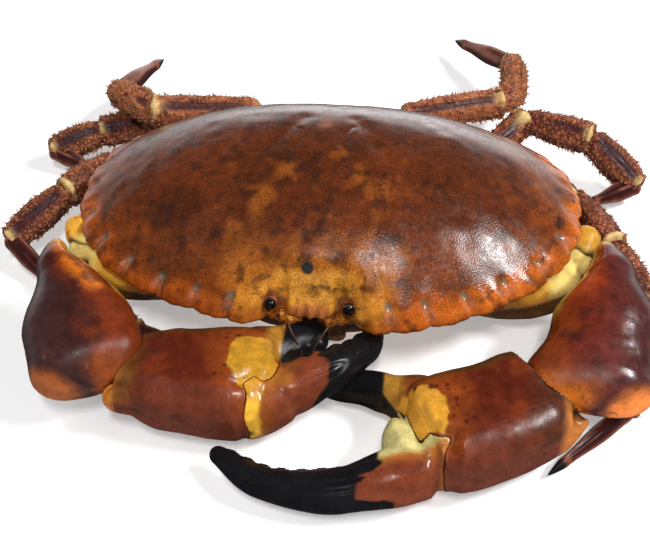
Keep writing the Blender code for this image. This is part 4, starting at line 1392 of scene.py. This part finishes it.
def make_lamp(name, azimuth, elevation, distance, size, power, glints):
    azimuth, elevation = math.radians(azimuth), math.radians(elevation)
    away = Vector((math.sin(azimuth) * math.cos(elevation), -math.cos(azimuth) * math.cos(elevation),
                   math.sin(elevation)))
    data = bpy.data.lights.new(name, "AREA")
    data.shape = "RECTANGLE"
    data.size, data.size_y = size
    data.energy = power
    made = placed(name, data)
    made.visible_glossy = glints
    made.location = Vector(LAMP_AIM) * MM + away * distance
    made.rotation_euler = away.to_track_quat("Z", "Y").to_euler()


def make_floor():
    mesh = bpy.data.meshes.new("floor")
    corners = [(FLOOR_HALF * x, FLOOR_HALF * y, 0) for x, y in ((-1, -1), (1, -1), (1, 1), (-1, 1))]
    mesh.from_pydata(corners, [], [(0, 1, 2, 3)])
    floor = placed("floor", mesh)
    floor.visible_glossy = False
    white = bpy.data.materials.new("floor")
    white.use_nodes = True
    inputs = white.node_tree.nodes["Principled BSDF"].inputs
    for key, value in (("Base Color", (0.93, 0.93, 0.93, 1)), ("Roughness", 0.9), ("Specular IOR Level", 0.1),
                       ("Emission Color", (1, 1, 1, 1)), ("Emission Strength", 0.36)):
        inputs[key].default_value = value
    mesh.materials.append(white)


def make_world():
    """A dim studio with a pale glow low behind the crab."""
    world = bpy.data.worlds.new("studio")
    world.use_nodes = True
    tree = world.node_tree
    direction = node(tree, "TexCoord", {}).outputs["Generated"]
    split = node(tree, "SeparateXYZ", {"Vector": direction}).outputs
    height = combined(tree, "ABSOLUTE", split["Z"], 0.0)
    sideways = combined(tree, "ABSOLUTE", split["X"], 0.0)
    low = ranged(tree, height, 0.0, 0.35, 1.0, 0.0)
    behind = ranged(tree, split["Y"], -0.2, 0.8, 0.15, 3.6)
    central = ranged(tree, sideways, 0.1, 0.5, 1.0, 0.35)
    glow = combined(tree, "MULTIPLY", low, behind, central)
    background = tree.nodes["Background"]
    background.inputs["Color"].default_value = (0.96, 0.98, 1.0, 1)
    tree.links.new(combined(tree, "ADD", glow, 0.07), background.inputs["Strength"])
    bpy.context.scene.world = world


def main():
    build_shell()
    build_belly()
    tufts = []
    for side in ("left", "right"):
        build_claw(side)
    for name, joints in LEGS.items():
        build_leg(name, joints, tufts)
    for side in ("left", "right"):
        build_hip(side)
    build_bristles(tufts)
    for side in ("left", "right"):
        build_eye(side)
        build_feeler(side)
        build_mouth_plate(side)
    make_floor()
    make_world()
    for name, values in LAMPS.items():
        make_lamp(name, *values)
    make_camera()
    bpy.context.scene.view_settings.view_transform = "Standard"


main()
